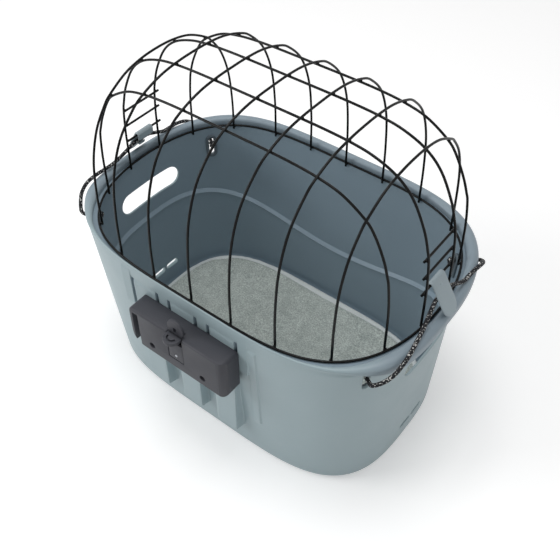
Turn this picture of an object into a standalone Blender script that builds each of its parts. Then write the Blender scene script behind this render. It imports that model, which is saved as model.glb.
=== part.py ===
"""Handlebar bicycle basket for a small dog: moulded tub, domed wire cage, quick-release mount.

The origin lies on the ground under the middle of the tub. +X runs along the handlebar, the
mount faces -Y and +Z is up. Every length is in metres.
"""
import math

import bmesh
import bpy
from mathutils import Matrix, Vector

# ---------------------------------------------------------------- shared clearances
GAP = 0.0003            # running gap between pieces that touch
OVERRUN = 0.004         # how far a cutter runs past what it cuts

# ---------------------------------------------------------------- cage
WIRE = 0.003            # diameter of every cage wire
RING_HALF_LENGTH = 0.231
RING_HALF_WIDTH = 0.1588
RING_HEIGHT = 0.252     # centre line of the base ring above the ground
END_POWER = 4.21        # superellipse power along X: long flat sides
SIDE_POWER = 2.16       # superellipse power along Y: round ends
DOME_RISE = 0.2067      # wire crown above the base ring
DOME_MIX_SHARE = 1.3045
DOME_POWER_SHARE = 3.1885
END_SPAN = 0.0549       # outermost crosswise wire to the ring's end
CROSS_COUNT = 7
INNER_SPREAD = 0.028    # lengthwise wires beside the middle
OUTER_SPREAD = 0.0818   # lengthwise wires further out
FOOT_DROP = 0.003       # how far each wire reaches below the ring
BAR_RISE = 0.0465       # lowest ladder bar above the ring
BAR_PITCH = 0.0245
BAR_COUNT = 3
BAR_STUB = 0.0035       # ladder bar past the wire that it is welded to
WELD = WIRE + GAP       # centre to centre where two wires are welded

# ---------------------------------------------------------------- tub
WALL = 0.003
FLOOR = 0.0035
NECK_DROP = 0.009       # top of the plain wall, below the ring plane
NECK_OUT = 0.0024       # plain wall's outer face outside the ring there
NECK_NEAR_OUT = 0.004   # the same on the mount side
NECK_NEAR_POWER = 3.4   # the mount side is boxier than the ring
BASE_HALF_LENGTH = 0.220
BASE_IN = 0.0193        # foot of the far wall, inside the ring's long side
BASE_SIDE_POWER = 2.75
BASE_NEAR_IN = 0.0136   # the same on the mount side
BASE_NEAR_POWER = 3.2
BASE_FILLET = 0.014
RIM_WIDTH = 0.0165      # ring centre to the rim's outer edge at the ends
RIM_FAR_WIDTH = 0.0165  # the same along the far side
RIM_FAR_POWER = 2.35
RIM_NEAR_WIDTH = 0.0046
RIM_RISE = 0.008        # rim crest above the ring plane
FLUSH_RISE = 0.0016     # the same on the mount side, where the rim has no lip
LIP_SHARE = 0.55        # of the half width: the lip is full up to here on the mount side
FLUSH_SHARE = 0.97      # and gone from here on
SEAT_IN = 0.0006        # inner end of the ledge that carries the ring, inside the ring
LEDGE_TOP_DROP = 0.0125 # plain inner wall starts here, under the ledge
LEDGE_END_DROP = 0.097  # inner moulded line at the end walls
LEDGE_SAG = 0.055       # how much lower it runs at the middle of a long wall
LEDGE_STEP = 0.0025
LEDGE_BAND = 0.003
COLUMNS = 56            # corners round the tub, before the pilasters' own

# pilasters and rib on the mount side
PILASTER_OUT = 0.0037   # their vertical faces, outside the ring's long side
PILASTER_HALF = 0.0185
PILASTER_PITCH = 0.061
PILASTER_SHIFT = -0.012
PILASTER_TOP_DROP = 0.020
PILASTER_RAMP = 0.004
STRIP_HALF = 0.0075     # raised strip in each valley behind the mounting box
STRIP_BASE_DROP = 0.068
STRIP_BACK = 0.0004     # strip's face behind the pilasters' faces
PILASTER_BASE_DROP = 0.199
PILASTER_TOE = 0.003
DRAFT = 0.0006
RIB_PLACE = 0.092
RIB_HALF = 0.005
RIB_PROUD = 0.0018
RIB_SLOPE = 0.0015
RIB_BASE_DROP = 0.172

# openings in the tub wall
HAND_HOLE_LENGTH = 0.108
HAND_HOLE_HEIGHT = 0.030
HAND_HOLE_DROP = 0.059
VENT_LENGTH = 0.023
VENT_HEIGHT = 0.008
VENT_DROP = 0.212
VENT_SPREAD = 0.0135
CORD_SLOT_HEIGHT = 0.028
CORD_SLOT_WIDTH = 0.0072
CORD_SLOT_DROP = 0.0315
CORD_SLOT_IN = 0.0514   # the far slots' distance inside the ring's long side
CORD_SLOT_NEAR_IN = 0.0443
CORD_SLOT_NEAR_DROP = 0.0245

# ---------------------------------------------------------------- hooks and cords
HOOK_WIDTH = 0.027
HOOK_SHEET = 0.0024
HOOK_INNER_LEG = 0.007
HOOK_TIP_OUT = 0.0182   # tip outside the ring
HOOK_TIP_RISE = 0.0075  # tip above the ring plane
LUG_WIDTH = 0.010
LUG_SHEET = 0.002
CORD = 0.005
CORD_BEHIND = 0.020     # along the tab, from the bar to the cord
GUIDE_BORDER = 0.0045
GUIDE_SHEET = 0.002
GUIDE_SEAT = 0.0006     # flat guide behind the leaning wall
KNOT = 0.0105

# ---------------------------------------------------------------- cushion
CUSHION_HEIGHT = 0.018
CUSHION_CLEAR = 0.003
CUSHION_BORDER = 0.013

# ---------------------------------------------------------------- handlebar mount
HOUSING_LENGTH = 0.148
HOUSING_HEIGHT = 0.061
HOUSING_DEPTH = 0.0275
HOUSING_TOP_DROP = 0.0335
HOUSING_WALL = 0.003
HOUSING_CORNER = 0.006
HOUSING_TOE_RADIUS = 0.020
HOUSING_NOSE = 0.012    # rounding of the right-hand end
HOUSING_EDGE = 0.0012
SOCKET_WIDTH = 0.009
SOCKET_DEPTH = 0.012
SOCKET_SIDE_WALL = 0.0055
SCREW_SPREAD = 0.0403
SCREW_DROP = 0.0805
SCREW_SHANK = 0.004
SCREW_HEAD = 0.0066
SCREW_HEAD_HEIGHT = 0.004
SCREW_BORE_CLEAR = 0.0006
BOSS = 0.0118
NUT = 0.007
NUT_HEIGHT = 0.0034
WASHER = 0.0105
WASHER_SHEET = 0.0012
SPACER = 0.009
SHANK_END = 0.0015
PANEL_WIDTH = 0.0234
PANEL_SHEET = 0.0027
PANEL_TOP_DROP = 0.0466
PANEL_BASE_DROP = 0.0772
RAIL_DEPTH = 0.012
RAIL_WIDTH = 0.0025
PIN = 0.004
PIN_RISE = 0.0074       # pin centre above the panel's lower edge
BUTTON_TRAVEL = 0.003
LUG_RADIUS = 0.011      # thumb plate of the release button
PLATE_SHEET = 0.005
PLATE_OUT = 0.013       # thumb plate past the housing's front
BUTTON_BLOCK = 0.0055
STEM_HALF = 0.0045
STEM_DEPTH = 0.008
STEM_BACK = 0.0073      # stem's front face behind the front's inner face
STEM_LENGTH = 0.029
SPRING_RADIUS = 0.003
SPRING_WIRE = 0.0009
SPRING_TURNS = 5
LOCK_RADIUS = 0.0125
LOCK_SHEET = 0.004
LOCK_RISE = 0.0092      # disc centre above the housing
LOCK_FOOT = 0.008
LOCK_FOOT_SHEET = 0.002
LOCK_EYE_WIDTH = 0.004
LOCK_EYE_HEIGHT = 0.007

# ---------------------------------------------------------------- derived sizes
CROSS_PITCH = (RING_HALF_LENGTH - END_SPAN) / (CROSS_COUNT // 2)
BASE_HALF_WIDTH = RING_HALF_WIDTH - BASE_IN
BASE_NEAR_WIDTH = RING_HALF_WIDTH - BASE_NEAR_IN
PILASTER_FACE = RING_HALF_WIDTH + PILASTER_OUT
CORD_SLOT_SIDE = RING_HALF_WIDTH - CORD_SLOT_IN
CORD_SLOT_NEAR_SIDE = RING_HALF_WIDTH - CORD_SLOT_NEAR_IN
SEAT_DROP = WIRE / 2 + GAP
DOME_HALF_LENGTH = RING_HALF_LENGTH - WELD
DOME_HALF_WIDTH = RING_HALF_WIDTH - WELD
NECK_HALF_LENGTH = RING_HALF_LENGTH + NECK_OUT
NECK_NEAR_WIDTH = RING_HALF_WIDTH + NECK_NEAR_OUT
BASE_DROP = RING_HEIGHT - BASE_FILLET
# plans: half length, near half width and power, far half width and power
RING_PLAN = (RING_HALF_LENGTH, RING_HALF_WIDTH, SIDE_POWER, RING_HALF_WIDTH, SIDE_POWER)
NECK_PLAN = (NECK_HALF_LENGTH, NECK_NEAR_WIDTH, NECK_NEAR_POWER, RING_HALF_WIDTH + NECK_OUT,
             SIDE_POWER)
BASE_PLAN = (BASE_HALF_LENGTH, BASE_NEAR_WIDTH, BASE_NEAR_POWER, BASE_HALF_WIDTH,
             BASE_SIDE_POWER)
EDGE_PLAN = (RING_HALF_LENGTH + RIM_WIDTH, RING_HALF_WIDTH + RIM_NEAR_WIDTH, NECK_NEAR_POWER,
             RING_HALF_WIDTH + RIM_FAR_WIDTH, RIM_FAR_POWER)
FLOOR_DROP = RING_HEIGHT - FLOOR
HOUSING_BACK = PILASTER_FACE + GAP
HOUSING_FRONT = HOUSING_BACK + HOUSING_DEPTH
HOUSING_TOP = RING_HEIGHT - HOUSING_TOP_DROP
HOUSING_BASE = HOUSING_TOP - HOUSING_HEIGHT
FRONT_INSIDE = HOUSING_FRONT - HOUSING_WALL
SCREW_LEVEL = RING_HEIGHT - SCREW_DROP

# rim section: (outwards as a share of the rim's width, up as a share of its rise)
RIM_SHARES = (
    (0.368, -0.44), (0.421, 0.06), (0.579, 0.50), (0.747, 0.40), (0.853, -0.06),
    (0.863, -1.00), (0.979, -1.00), (1.000, -0.25), (0.958, 0.38), (0.800, 0.83),
    (0.595, 1.00), (0.400, 0.91), (0.274, 0.63), (0.236, 0.19),
)
RIM_SEAT_SHARE = 0.236
# the same rows where the rim is flush with the wall: shares of the wall's own step and rise
FLUSH_SHARES = (
    (1.000, -3.60), (1.003, -3.00), (1.006, -2.50), (1.009, -2.00), (1.012, -1.50),
    (1.015, -1.00), (1.018, -0.50), (1.018, 0.00), (1.000, 0.42), (0.940, 0.78),
    (0.825, 1.00), (0.690, 0.88), (0.600, 0.50), (0.560, 0.00),
)
FLUSH_SEAT_SHARE = 0.55
# cushion section: (inwards as a share of the height, up as a share of the height)
CUSHION_SHARES = (
    (0.62, 0.00), (0.20, 0.10), (0.02, 0.36), (0.00, 0.58), (0.12, 0.80), (0.36, 0.90),
)
CUSHION_TOP_SHARES = ((1.00, 0.88), (1.12, 0.94), (2.20, 0.985), (4.40, 1.00))
# the cord's legs: (share of the half width, out from the ring, up from the ring)
CORD_NEAR_LEG = (
    (0.190, 0.0052, 0.0205), (0.280, 0.0100, 0.0140), (0.360, 0.0152, 0.0120),
    (0.430, 0.0210, 0.0102), (0.500, 0.0262, 0.0070), (0.560, 0.0287, 0.0000),
    (0.612, 0.0276, -0.0078), (0.664, 0.0240, -0.0136),
)
CORD_FAR_LEG = (
    (0.190, 0.0050, 0.0205), (0.280, 0.0090, 0.0127), (0.360, 0.0122, 0.0112),
    (0.430, 0.0164, 0.0095), (0.500, 0.0208, 0.0050), (0.560, 0.0236, -0.0022),
    (0.612, 0.0234, -0.0096), (0.650, 0.0180, -0.0160),
)

# ---------------------------------------------------------------- looks
TUB_BLUE = (0.275, 0.352, 0.376, 1.0)
MOUNT_GREY = (0.106, 0.102, 0.115, 1.0)
WIRE_BLACK = (0.012, 0.012, 0.014, 1.0)
HOOK_GREY = (0.386, 0.472, 0.498, 1.0)
CORD_GREY = (0.070, 0.070, 0.075, 1.0)
PLUSH_GREY = (0.330, 0.352, 0.330, 1.0)
STEEL = (0.600, 0.600, 0.620, 1.0)


def clear_scene():
    for item in list(bpy.data.objects):
        bpy.data.objects.remove(item, do_unlink=True)


def collection(name):
    made = bpy.data.collections.new(name)
    bpy.context.scene.collection.children.link(made)
    return made


clear_scene()
PARTS = collection("dog_bicycle_basket")
CUTTERS = collection("cutters")


def material(name, colour, roughness, metallic):
    made = bpy.data.materials.new(name)
    made.use_nodes = True
    shader = made.node_tree.nodes["Principled BSDF"]
    shader.inputs["Base Color"].default_value = colour
    shader.inputs["Roughness"].default_value = roughness
    shader.inputs["Metallic"].default_value = metallic
    return made


def finish(item, colour, roughness=0.5, metallic=0.0, pivot=None, smooth=True):
    """Colour a piece, file it with the parts and hang it on its pivot."""
    item.data.materials.clear()
    item.data.materials.append(material(item.name, colour, roughness, metallic))
    PARTS.objects.link(item)
    if smooth and item.type == "MESH":
        item.data.shade_smooth()
        item.data.set_sharp_from_angle(angle=math.radians(35))
    if pivot is not None:
        item.parent = pivot
        item.location = item.location - pivot.location
    return item


def pivot(name, place):
    empty = bpy.data.objects.new(name, None)
    empty.location = place
    PARTS.objects.link(empty)
    return empty


def cutter(item):
    item.hide_render = True
    item.display_type = "WIRE"
    CUTTERS.objects.link(item)
    return item


def boolean(item, tool, operation="DIFFERENCE"):
    step = item.modifiers.new(tool.name, "BOOLEAN")
    step.operation = operation
    step.solver = "EXACT"
    step.object = tool


def mesh_object(name, frame):
    bmesh.ops.recalc_face_normals(frame, faces=frame.faces)
    mesh = bpy.data.meshes.new(name)
    frame.to_mesh(mesh)
    frame.free()
    return bpy.data.objects.new(name, mesh)


def loft(name, sections):
    """Join closed sections of equal count by quads and close both ends on a middle point."""
    frame = bmesh.new()
    rows = [[frame.verts.new(point) for point in section] for section in sections]
    for low, high in zip(rows, rows[1:]):
        for i in range(len(low)):
            j = (i + 1) % len(low)
            frame.faces.new((low[i], low[j], high[j], high[i]))
    for row in (rows[0], rows[-1]):
        middle = frame.verts.new(Vector((0.0, 0.0, row[0].co.z)))
        for i in range(len(row)):
            frame.faces.new((row[i], row[(i + 1) % len(row)], middle))
    return mesh_object(name, frame)


def prism(name, outline, low, high, axis="Y"):
    """Extrude a closed outline between two places on an axis."""
    def place(u, v, w):
        if axis == "Y":
            return Vector((u, w, v))
        if axis == "X":
            return Vector((w, u, v))
        return Vector((u, v, w))
    frame = bmesh.new()
    ends = [[frame.verts.new(place(u, v, w)) for u, v in outline] for w in (low, high)]
    for end in ends:
        frame.faces.new(end)
    for i in range(len(outline)):
        j = (i + 1) % len(outline)
        frame.faces.new((ends[0][i], ends[0][j], ends[1][j], ends[1][i]))
    return mesh_object(name, frame)


def box(name, low, high):
    """A cube primitive stretched between two corners."""
    frame = bmesh.new()
    bmesh.ops.create_cube(frame, size=1.0)
    low, high = Vector(low), Vector(high)
    bmesh.ops.scale(frame, vec=high - low, verts=frame.verts)
    bmesh.ops.translate(frame, vec=(high + low) / 2, verts=frame.verts)
    return mesh_object(name, frame)


def cylinder(name, radius, low, high, x, z, sides=16):
    """A cylinder along Y."""
    frame = bmesh.new()
    bmesh.ops.create_cone(frame, cap_ends=True, segments=sides, radius1=radius,
                          radius2=radius, depth=high - low)
    bmesh.ops.rotate(frame, cent=(0.0, 0.0, 0.0), verts=frame.verts,
                     matrix=Matrix.Rotation(math.radians(90), 3, "X"))
    bmesh.ops.translate(frame, vec=(x, (low + high) / 2, z), verts=frame.verts)
    return mesh_object(name, frame)


def wire(name, points, diameter, closed=False, resolution=2):
    """A round wire through the points."""
    curve = bpy.data.curves.new(name, "CURVE")
    curve.dimensions = "3D"
    curve.bevel_depth = diameter / 2
    curve.bevel_resolution = resolution
    curve.use_fill_caps = not closed
    spline = curve.splines.new("POLY")
    spline.points.add(len(points) - 1)
    for slot, point in zip(spline.points, points):
        slot.co = (point[0], point[1], point[2], 1.0)
    spline.use_cyclic_u = closed
    return bpy.data.objects.new(name, curve)


def stadium(length, height, sides=6):
    """Outline of a slot with round ends, lying along its first axis."""
    radius, reach = height / 2, (length - height) / 2
    points = []
    for side, start in ((1, -90), (-1, 90)):
        for i in range(sides + 1):
            angle = math.radians(start + 180 * i / sides)
            points.append((side * reach + radius * math.cos(angle), radius * math.sin(angle)))
    return points


def rounded(corners, sides=4):
    """Outline through (x, z, radius) corners, each rounded by an arc."""
    outline = []
    for i, (x, z, radius) in enumerate(corners):
        here = Vector((x, z))
        before = Vector(corners[i - 1][:2]) - here
        after = Vector(corners[(i + 1) % len(corners)][:2]) - here
        start = here + before.normalized() * radius
        end = here + after.normalized() * radius
        for j in range(sides + 1):
            t = j / sides
            outline.append(tuple(start * (1 - t) ** 2 + here * 2 * t * (1 - t) + end * t * t))
    return outline


def signed_power(value, power):
    return math.copysign(abs(value) ** power, value)


def oval(plan, turn):
    """Point of a rounded oval at a turn in radians."""
    half_length, near_width, near_power, far_width, far_power = plan
    width, power = (far_width, far_power) if math.sin(turn) >= 0 else (near_width, near_power)
    return (half_length * signed_power(math.cos(turn), 2 / END_POWER),
            width * signed_power(math.sin(turn), 2 / power))


def between(first, last, share):
    """Plan part of the way from one plan to another."""
    return tuple(a + (b - a) * share for a, b in zip(first, last))


def shrunk(plan, depth):
    """Plan drawn in by a depth all round."""
    half_length, near_width, near_power, far_width, far_power = plan
    return (half_length - depth, near_width - depth, near_power, far_width - depth, far_power)


# ---------------------------------------------------------------- tub
def wall_plan(drop):
    """Outer plan of the plain wall at a drop below the ring."""
    return between(NECK_PLAN, BASE_PLAN, (drop - NECK_DROP) / (BASE_DROP - NECK_DROP))


def turn_at(x, back):
    """Turn whose point lies at x on the neck, on the back or the mount side."""
    share = abs(x) / NECK_HALF_LENGTH
    turn = math.acos(math.copysign(share ** (END_POWER / 2), x))
    return turn if back else 2 * math.pi - turn


def slot_turns():
    """Turn, half the turn of its flat stretch of wall, and drop of the slots of each side."""
    slots = []
    for near, place, drop in ((True, CORD_SLOT_NEAR_SIDE, CORD_SLOT_NEAR_DROP),
                              (False, CORD_SLOT_SIDE, CORD_SLOT_DROP)):
        plan = wall_plan(drop)
        width, power = plan[1:3] if near else plan[3:5]
        turn = math.asin((place / width) ** (power / 2)) * (-1 if near else 1)
        a, b = (oval(plan, turn + step) for step in (-0.01, 0.01))
        flat = (CORD_SLOT_WIDTH / 2 + GUIDE_BORDER + GAP) * 0.02 / math.dist(a, b)
        slots.append((turn % (2 * math.pi), flat, drop))
    return slots


PILASTERS = [PILASTER_SHIFT + i * PILASTER_PITCH for i in (-1, 0, 1)]


def tub_turns():
    """Even columns round the oval, and a column at each edge of a pilaster or the rib."""
    fine = [2 * math.pi * i / 4000 for i in range(4001)]
    places = [oval(NECK_PLAN, t) for t in fine]
    walked = [0.0]
    for a, b in zip(places, places[1:]):
        walked.append(walked[-1] + math.dist(a, b))
    turns, index = [], 0
    for i in range(COLUMNS):
        goal = walked[-1] * i / COLUMNS
        while walked[index] < goal:
            index += 1
        turns.append(fine[index])
    special = []
    for middle in PILASTERS:
        for side in (-1, 1):
            for reach in (PILASTER_HALF + DRAFT, PILASTER_HALF,
                          PILASTER_HALF - WALL + DRAFT, PILASTER_HALF - WALL):
                special.append(middle + side * reach)
        special.append(middle)
    for reach in (RIB_HALF + RIB_SLOPE, RIB_HALF, -RIB_HALF, -RIB_HALF - RIB_SLOPE):
        special.append(RIB_PLACE + reach)
    low, high = min(special), max(special)
    margin = NECK_HALF_LENGTH * math.pi / COLUMNS
    kept = [t for t in turns if t < math.pi
            or not low - margin < NECK_HALF_LENGTH * signed_power(math.cos(t), 2 / END_POWER)
            < high + margin]
    slots = [(place % (2 * math.pi), flat) for turn, flat, _ in slot_turns()
             for place in (turn, math.pi - turn)]
    kept = [t for t in kept if all(abs(t - place) > flat * 1.3 for place, flat in slots)]
    kept += [place + side * flat for place, flat in slots for side in (-1, 1)]
    return sorted(kept + [turn_at(x, back=False) for x in special])


TURNS = tub_turns()


def neck_place(turn):
    return NECK_HALF_LENGTH * signed_power(math.cos(turn), 2 / END_POWER)


def in_pilaster(turn, inset):
    if turn <= math.pi:
        return False
    return any(abs(neck_place(turn) - middle) < PILASTER_HALF - inset + DRAFT / 3
               for middle in PILASTERS)


def in_rib(turn):
    return turn > math.pi and abs(neck_place(turn) - RIB_PLACE) < RIB_HALF + DRAFT / 3


def outer_row(drop, pilaster=False, rib=False):
    row = []
    for turn in TURNS:
        x, y = oval(wall_plan(drop), turn)
        if pilaster and in_pilaster(turn, 0.0):
            y = min(y, -PILASTER_FACE)
        if rib and in_rib(turn):
            y -= RIB_PROUD
        row.append(Vector((x, y, RING_HEIGHT - drop)))
    return row


def ledge_drop(turn):
    share = neck_place(turn) / NECK_HALF_LENGTH
    return LEDGE_END_DROP + LEDGE_SAG * (1 - share ** 2)


def inner_row(drop, inset=0.0, channel=False):
    """Row of the inner skin; drop may be a function of the turn."""
    row = []
    for turn in TURNS:
        level = drop(turn) if callable(drop) else drop
        x, y = oval(shrunk(wall_plan(min(level, BASE_DROP)), WALL + inset), turn)
        if channel and in_pilaster(turn, WALL):
            y = min(y, WALL - PILASTER_FACE)
        row.append(Vector((x, y, RING_HEIGHT - level)))
    return row


def lip_share(turn):
    """How much of the rolled lip the rim has: all at the far side, none on the mount side."""
    if turn <= math.pi:
        return 1.0
    reach = -oval(NECK_PLAN, turn)[1] / NECK_NEAR_WIDTH
    t = min(1.0, max(0.0, (reach - LIP_SHARE) / (FLUSH_SHARE - LIP_SHARE)))
    return 1 - t * t * (3 - 2 * t)


def rim_row(lip, flush):
    """Row of the rim from its place in the rolled section and in the flush one."""
    row = []
    for turn in TURNS:
        share = lip_share(turn)
        ends = []
        for plan, (out, up) in ((NECK_PLAN, flush), (EDGE_PLAN, lip)):
            x, y = oval(between(RING_PLAN, plan, out), turn)
            ends.append(Vector((x, y, RING_HEIGHT + up)))
        row.append(ends[0].lerp(ends[1], share))
    return row


def fillet_steps(radius, count=3):
    """(inset, height) of a quarter round, from its flat to its upright end."""
    steps = []
    for i in range(count + 1):
        angle = math.radians(90 * i / count)
        steps.append((radius * (1 - math.sin(angle)), radius * (1 - math.cos(angle))))
    return steps


def make_tub():
    rows = []
    for inset, height in fillet_steps(BASE_FILLET):
        drop = RING_HEIGHT - height
        rows.append([Vector((*oval(shrunk(BASE_PLAN, inset), turn), RING_HEIGHT - drop))
                     for turn in TURNS])
    rows.append(outer_row(PILASTER_BASE_DROP + PILASTER_TOE))
    rows.append(outer_row(PILASTER_BASE_DROP, pilaster=True))
    rows.append(outer_row(RIB_BASE_DROP + PILASTER_RAMP, pilaster=True))
    rows.append(outer_row(RIB_BASE_DROP, pilaster=True, rib=True))
    middle = (RIB_BASE_DROP + PILASTER_TOP_DROP) / 2
    rows.append(outer_row(middle, pilaster=True, rib=True))
    rows.append(outer_row(PILASTER_TOP_DROP + PILASTER_RAMP, pilaster=True, rib=True))
    rows.append(outer_row(PILASTER_TOP_DROP))
    rows.append(outer_row(NECK_DROP))
    for (out, up), (flush_out, flush_up) in zip(RIM_SHARES, FLUSH_SHARES):
        rows.append(rim_row((out, up * RIM_RISE), (flush_out, flush_up * FLUSH_RISE)))
    rows.append(rim_row((RIM_SEAT_SHARE, -SEAT_DROP), (FLUSH_SEAT_SHARE, -SEAT_DROP)))
    rows.append([Vector((*oval(shrunk(RING_PLAN, SEAT_IN), turn), RING_HEIGHT - SEAT_DROP))
                 for turn in TURNS])
    channel_top = LEDGE_TOP_DROP
    channel_base = PILASTER_BASE_DROP - FLOOR
    rows.append(inner_row(channel_top))
    rows.append(inner_row(channel_top + PILASTER_RAMP, channel=True))
    rows.append(inner_row(ledge_drop, channel=True))
    rows.append(inner_row(lambda turn: ledge_drop(turn) + LEDGE_BAND, LEDGE_STEP, True))
    rows.append(inner_row(channel_base, LEDGE_STEP, True))
    rows.append(inner_row(channel_base + PILASTER_TOE, LEDGE_STEP))
    inner_fillet = BASE_FILLET - WALL
    for inset, height in reversed(fillet_steps(inner_fillet)):
        level = FLOOR_DROP - height
        rows.append([Vector((*oval(shrunk(BASE_PLAN, WALL + LEDGE_STEP + inset), turn),
                             RING_HEIGHT - level)) for turn in TURNS])
    tub = loft("tub", rows)
    for i in range(len(PILASTERS) + 1):
        middle = PILASTER_SHIFT + (i - len(PILASTERS) / 2) * PILASTER_PITCH
        seat = wall_plan(PILASTER_TOP_DROP)[1] - WALL / 2
        foot = wall_inside(middle, RING_HEIGHT - STRIP_BASE_DROP) + WALL / 2
        outline = [(-(PILASTER_FACE - STRIP_BACK), RING_HEIGHT - PILASTER_TOP_DROP),
                   (-seat, RING_HEIGHT - PILASTER_TOP_DROP),
                   (-foot, RING_HEIGHT - STRIP_BASE_DROP),
                   (-(PILASTER_FACE - STRIP_BACK), RING_HEIGHT - STRIP_BASE_DROP)]
        strip = prism(f"cut_strip_{i + 1}", outline, middle - STRIP_HALF, middle + STRIP_HALF, "X")
        boolean(tub, cutter(strip), "UNION")
    for side, word in ((-1, "left"), (1, "right")):
        outer = wall_plan(HAND_HOLE_DROP - HAND_HOLE_HEIGHT)[0] + OVERRUN
        inner = oval(shrunk(wall_plan(HAND_HOLE_DROP + HAND_HOLE_HEIGHT), WALL + OVERRUN * 4),
                     math.asin(HAND_HOLE_LENGTH / 2 / RING_HALF_WIDTH))[0]
        low, high = sorted((side * outer, side * inner))
        hole = prism(f"cut_hand_{word}", stadium(HAND_HOLE_LENGTH, HAND_HOLE_HEIGHT), low, high,
                     "X")
        hole.location.z = RING_HEIGHT - HAND_HOLE_DROP
        boolean(tub, cutter(hole))
        outer = wall_plan(VENT_DROP)[0] + OVERRUN
        inner = wall_plan(VENT_DROP)[0] - (WALL + LEDGE_STEP) * 2 - OVERRUN
        low, high = sorted((side * outer, side * inner))
        for place, label in ((-VENT_SPREAD, "near"), (VENT_SPREAD, "far")):
            vent = prism(f"cut_vent_{word}_{label}", stadium(VENT_LENGTH, VENT_HEIGHT, 4), low,
                         high, "X")
            vent.location = (0.0, place, RING_HEIGHT - VENT_DROP)
            boolean(tub, cutter(vent))
    for name, base, normal, up in corner_frames():
        boolean(tub, cutter(corner_slot(f"cut_cord_{name}", base, normal, up, CORD_SLOT_HEIGHT,
                                        CORD_SLOT_WIDTH, -CORD_SLOT_HEIGHT / 2, CORD)))
        if name.endswith("near"):
            pocket = corner_slot(f"cut_pocket_{name}", base, normal, up,
                                 CORD_SLOT_HEIGHT + (GUIDE_BORDER + GAP) * 2,
                                 CORD_SLOT_WIDTH + (GUIDE_BORDER + GAP) * 2,
                                 -CORD_SLOT_HEIGHT, -(WALL + GUIDE_SEAT - GAP))
            boolean(tub, cutter(pocket))
    for side in (-1, 1):
        hole = cylinder(f"cut_screw_{'left' if side < 0 else 'right'}",
                        SCREW_SHANK / 2 + SCREW_BORE_CLEAR / 2, -HOUSING_FRONT,
                        -BASE_HALF_WIDTH / 2,
                        side * SCREW_SPREAD, SCREW_LEVEL, 12)
        boolean(tub, cutter(hole))
    finish(tub, TUB_BLUE, 0.42)


# ---------------------------------------------------------------- corner slots and cords
def corner_frames():
    """Name, point on the outer wall, outward normal and wall's own upward line of each slot."""
    half = CORD_SLOT_HEIGHT / 2
    frames = []
    for (turn, half_turn, drop), label in zip(slot_turns(), ("near", "far")):
        def wall_point(level, place):
            return Vector((*oval(wall_plan(level), place), RING_HEIGHT - level))
        edges = [(wall_point(level, turn - half_turn) + wall_point(level, turn + half_turn)) / 2
                 for level in (drop + half, drop - half)]
        up = edges[1] - edges[0]
        along = wall_point(drop, turn + half_turn) - wall_point(drop, turn - half_turn)
        normal = along.cross(up).normalized()
        up = normal.cross(along).normalized()
        base = (edges[0] + edges[1]) / 2
        for side, word in ((-1, "left"), (1, "right")):
            mirror = Vector((side, 1.0, 1.0))
            frames.append((f"{word}_{label}", base * mirror, normal * mirror, up * mirror))
    return frames


def corner_slot(name, base, normal, up, height, width, low, high):
    """Slot-shaped prism standing square to a corner of the wall."""
    made = prism(name, [(v, u) for u, v in stadium(height, width, 4)], low, high, "X")
    across = up.cross(normal)
    turned = Matrix((normal, across, up)).transposed().to_4x4()
    made.matrix_world = Matrix.Translation(base) @ turned
    return made


def make_corner_hardware():
    for name, base, normal, up in corner_frames():
        face = -(WALL + GUIDE_SEAT)
        guide = corner_slot(f"cord_guide_{name}", base, normal, up,
                            CORD_SLOT_HEIGHT + GUIDE_BORDER * 2,
                            CORD_SLOT_WIDTH + GUIDE_BORDER * 2, face - GUIDE_SHEET, face)
        hole = corner_slot(f"cut_guide_{name}", base, normal, up, CORD_SLOT_HEIGHT,
                           CORD_SLOT_WIDTH, -CORD_SLOT_HEIGHT / 2, OVERRUN)
        boolean(guide, cutter(hole))
        finish(guide, TUB_BLUE, 0.5)
        frame = bmesh.new()
        bmesh.ops.create_uvsphere(frame, u_segments=8, v_segments=6, radius=KNOT / 2)
        knot = mesh_object(f"cord_knot_{name}", frame)
        inner = face - GUIDE_SHEET - GAP - KNOT / 2
        knot.location = base + normal * inner + up * cord_rise()
        finish(knot, CORD_GREY, 0.85)


def cord_rise():
    """Height of the cord above the middle of its slot."""
    return (CORD_SLOT_HEIGHT - CORD) / 2 - CORD_SLOT_WIDTH / 2 - GAP


def smooth_path(points, step):
    """Even points along a Catmull-Rom curve through the given points."""
    knots = [points[0] * 2 - points[1]] + points + [points[-1] * 2 - points[-2]]
    fine = []
    for a, b, c, d in zip(knots, knots[1:], knots[2:], knots[3:]):
        for i in range(24):
            t = i / 24
            fine.append((b * 2 + (c - a) * t + (a * 2 - b * 5 + c * 4 - d) * t ** 2
                         + (b * 3 - a - c * 3 + d) * t ** 3) / 2)
    fine.append(points[-1])
    length = sum((b - a).length for a, b in zip(fine, fine[1:]))
    count = max(2, round(length / step))
    path, walked, index = [fine[0]], 0.0, 0
    for i in range(1, count):
        goal = length * i / count
        while walked + (fine[index + 1] - fine[index]).length < goal:
            walked += (fine[index + 1] - fine[index]).length
            index += 1
        part = (goal - walked) / (fine[index + 1] - fine[index]).length
        path.append(fine[index].lerp(fine[index + 1], part))
    path.append(fine[-1])
    return path


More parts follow.
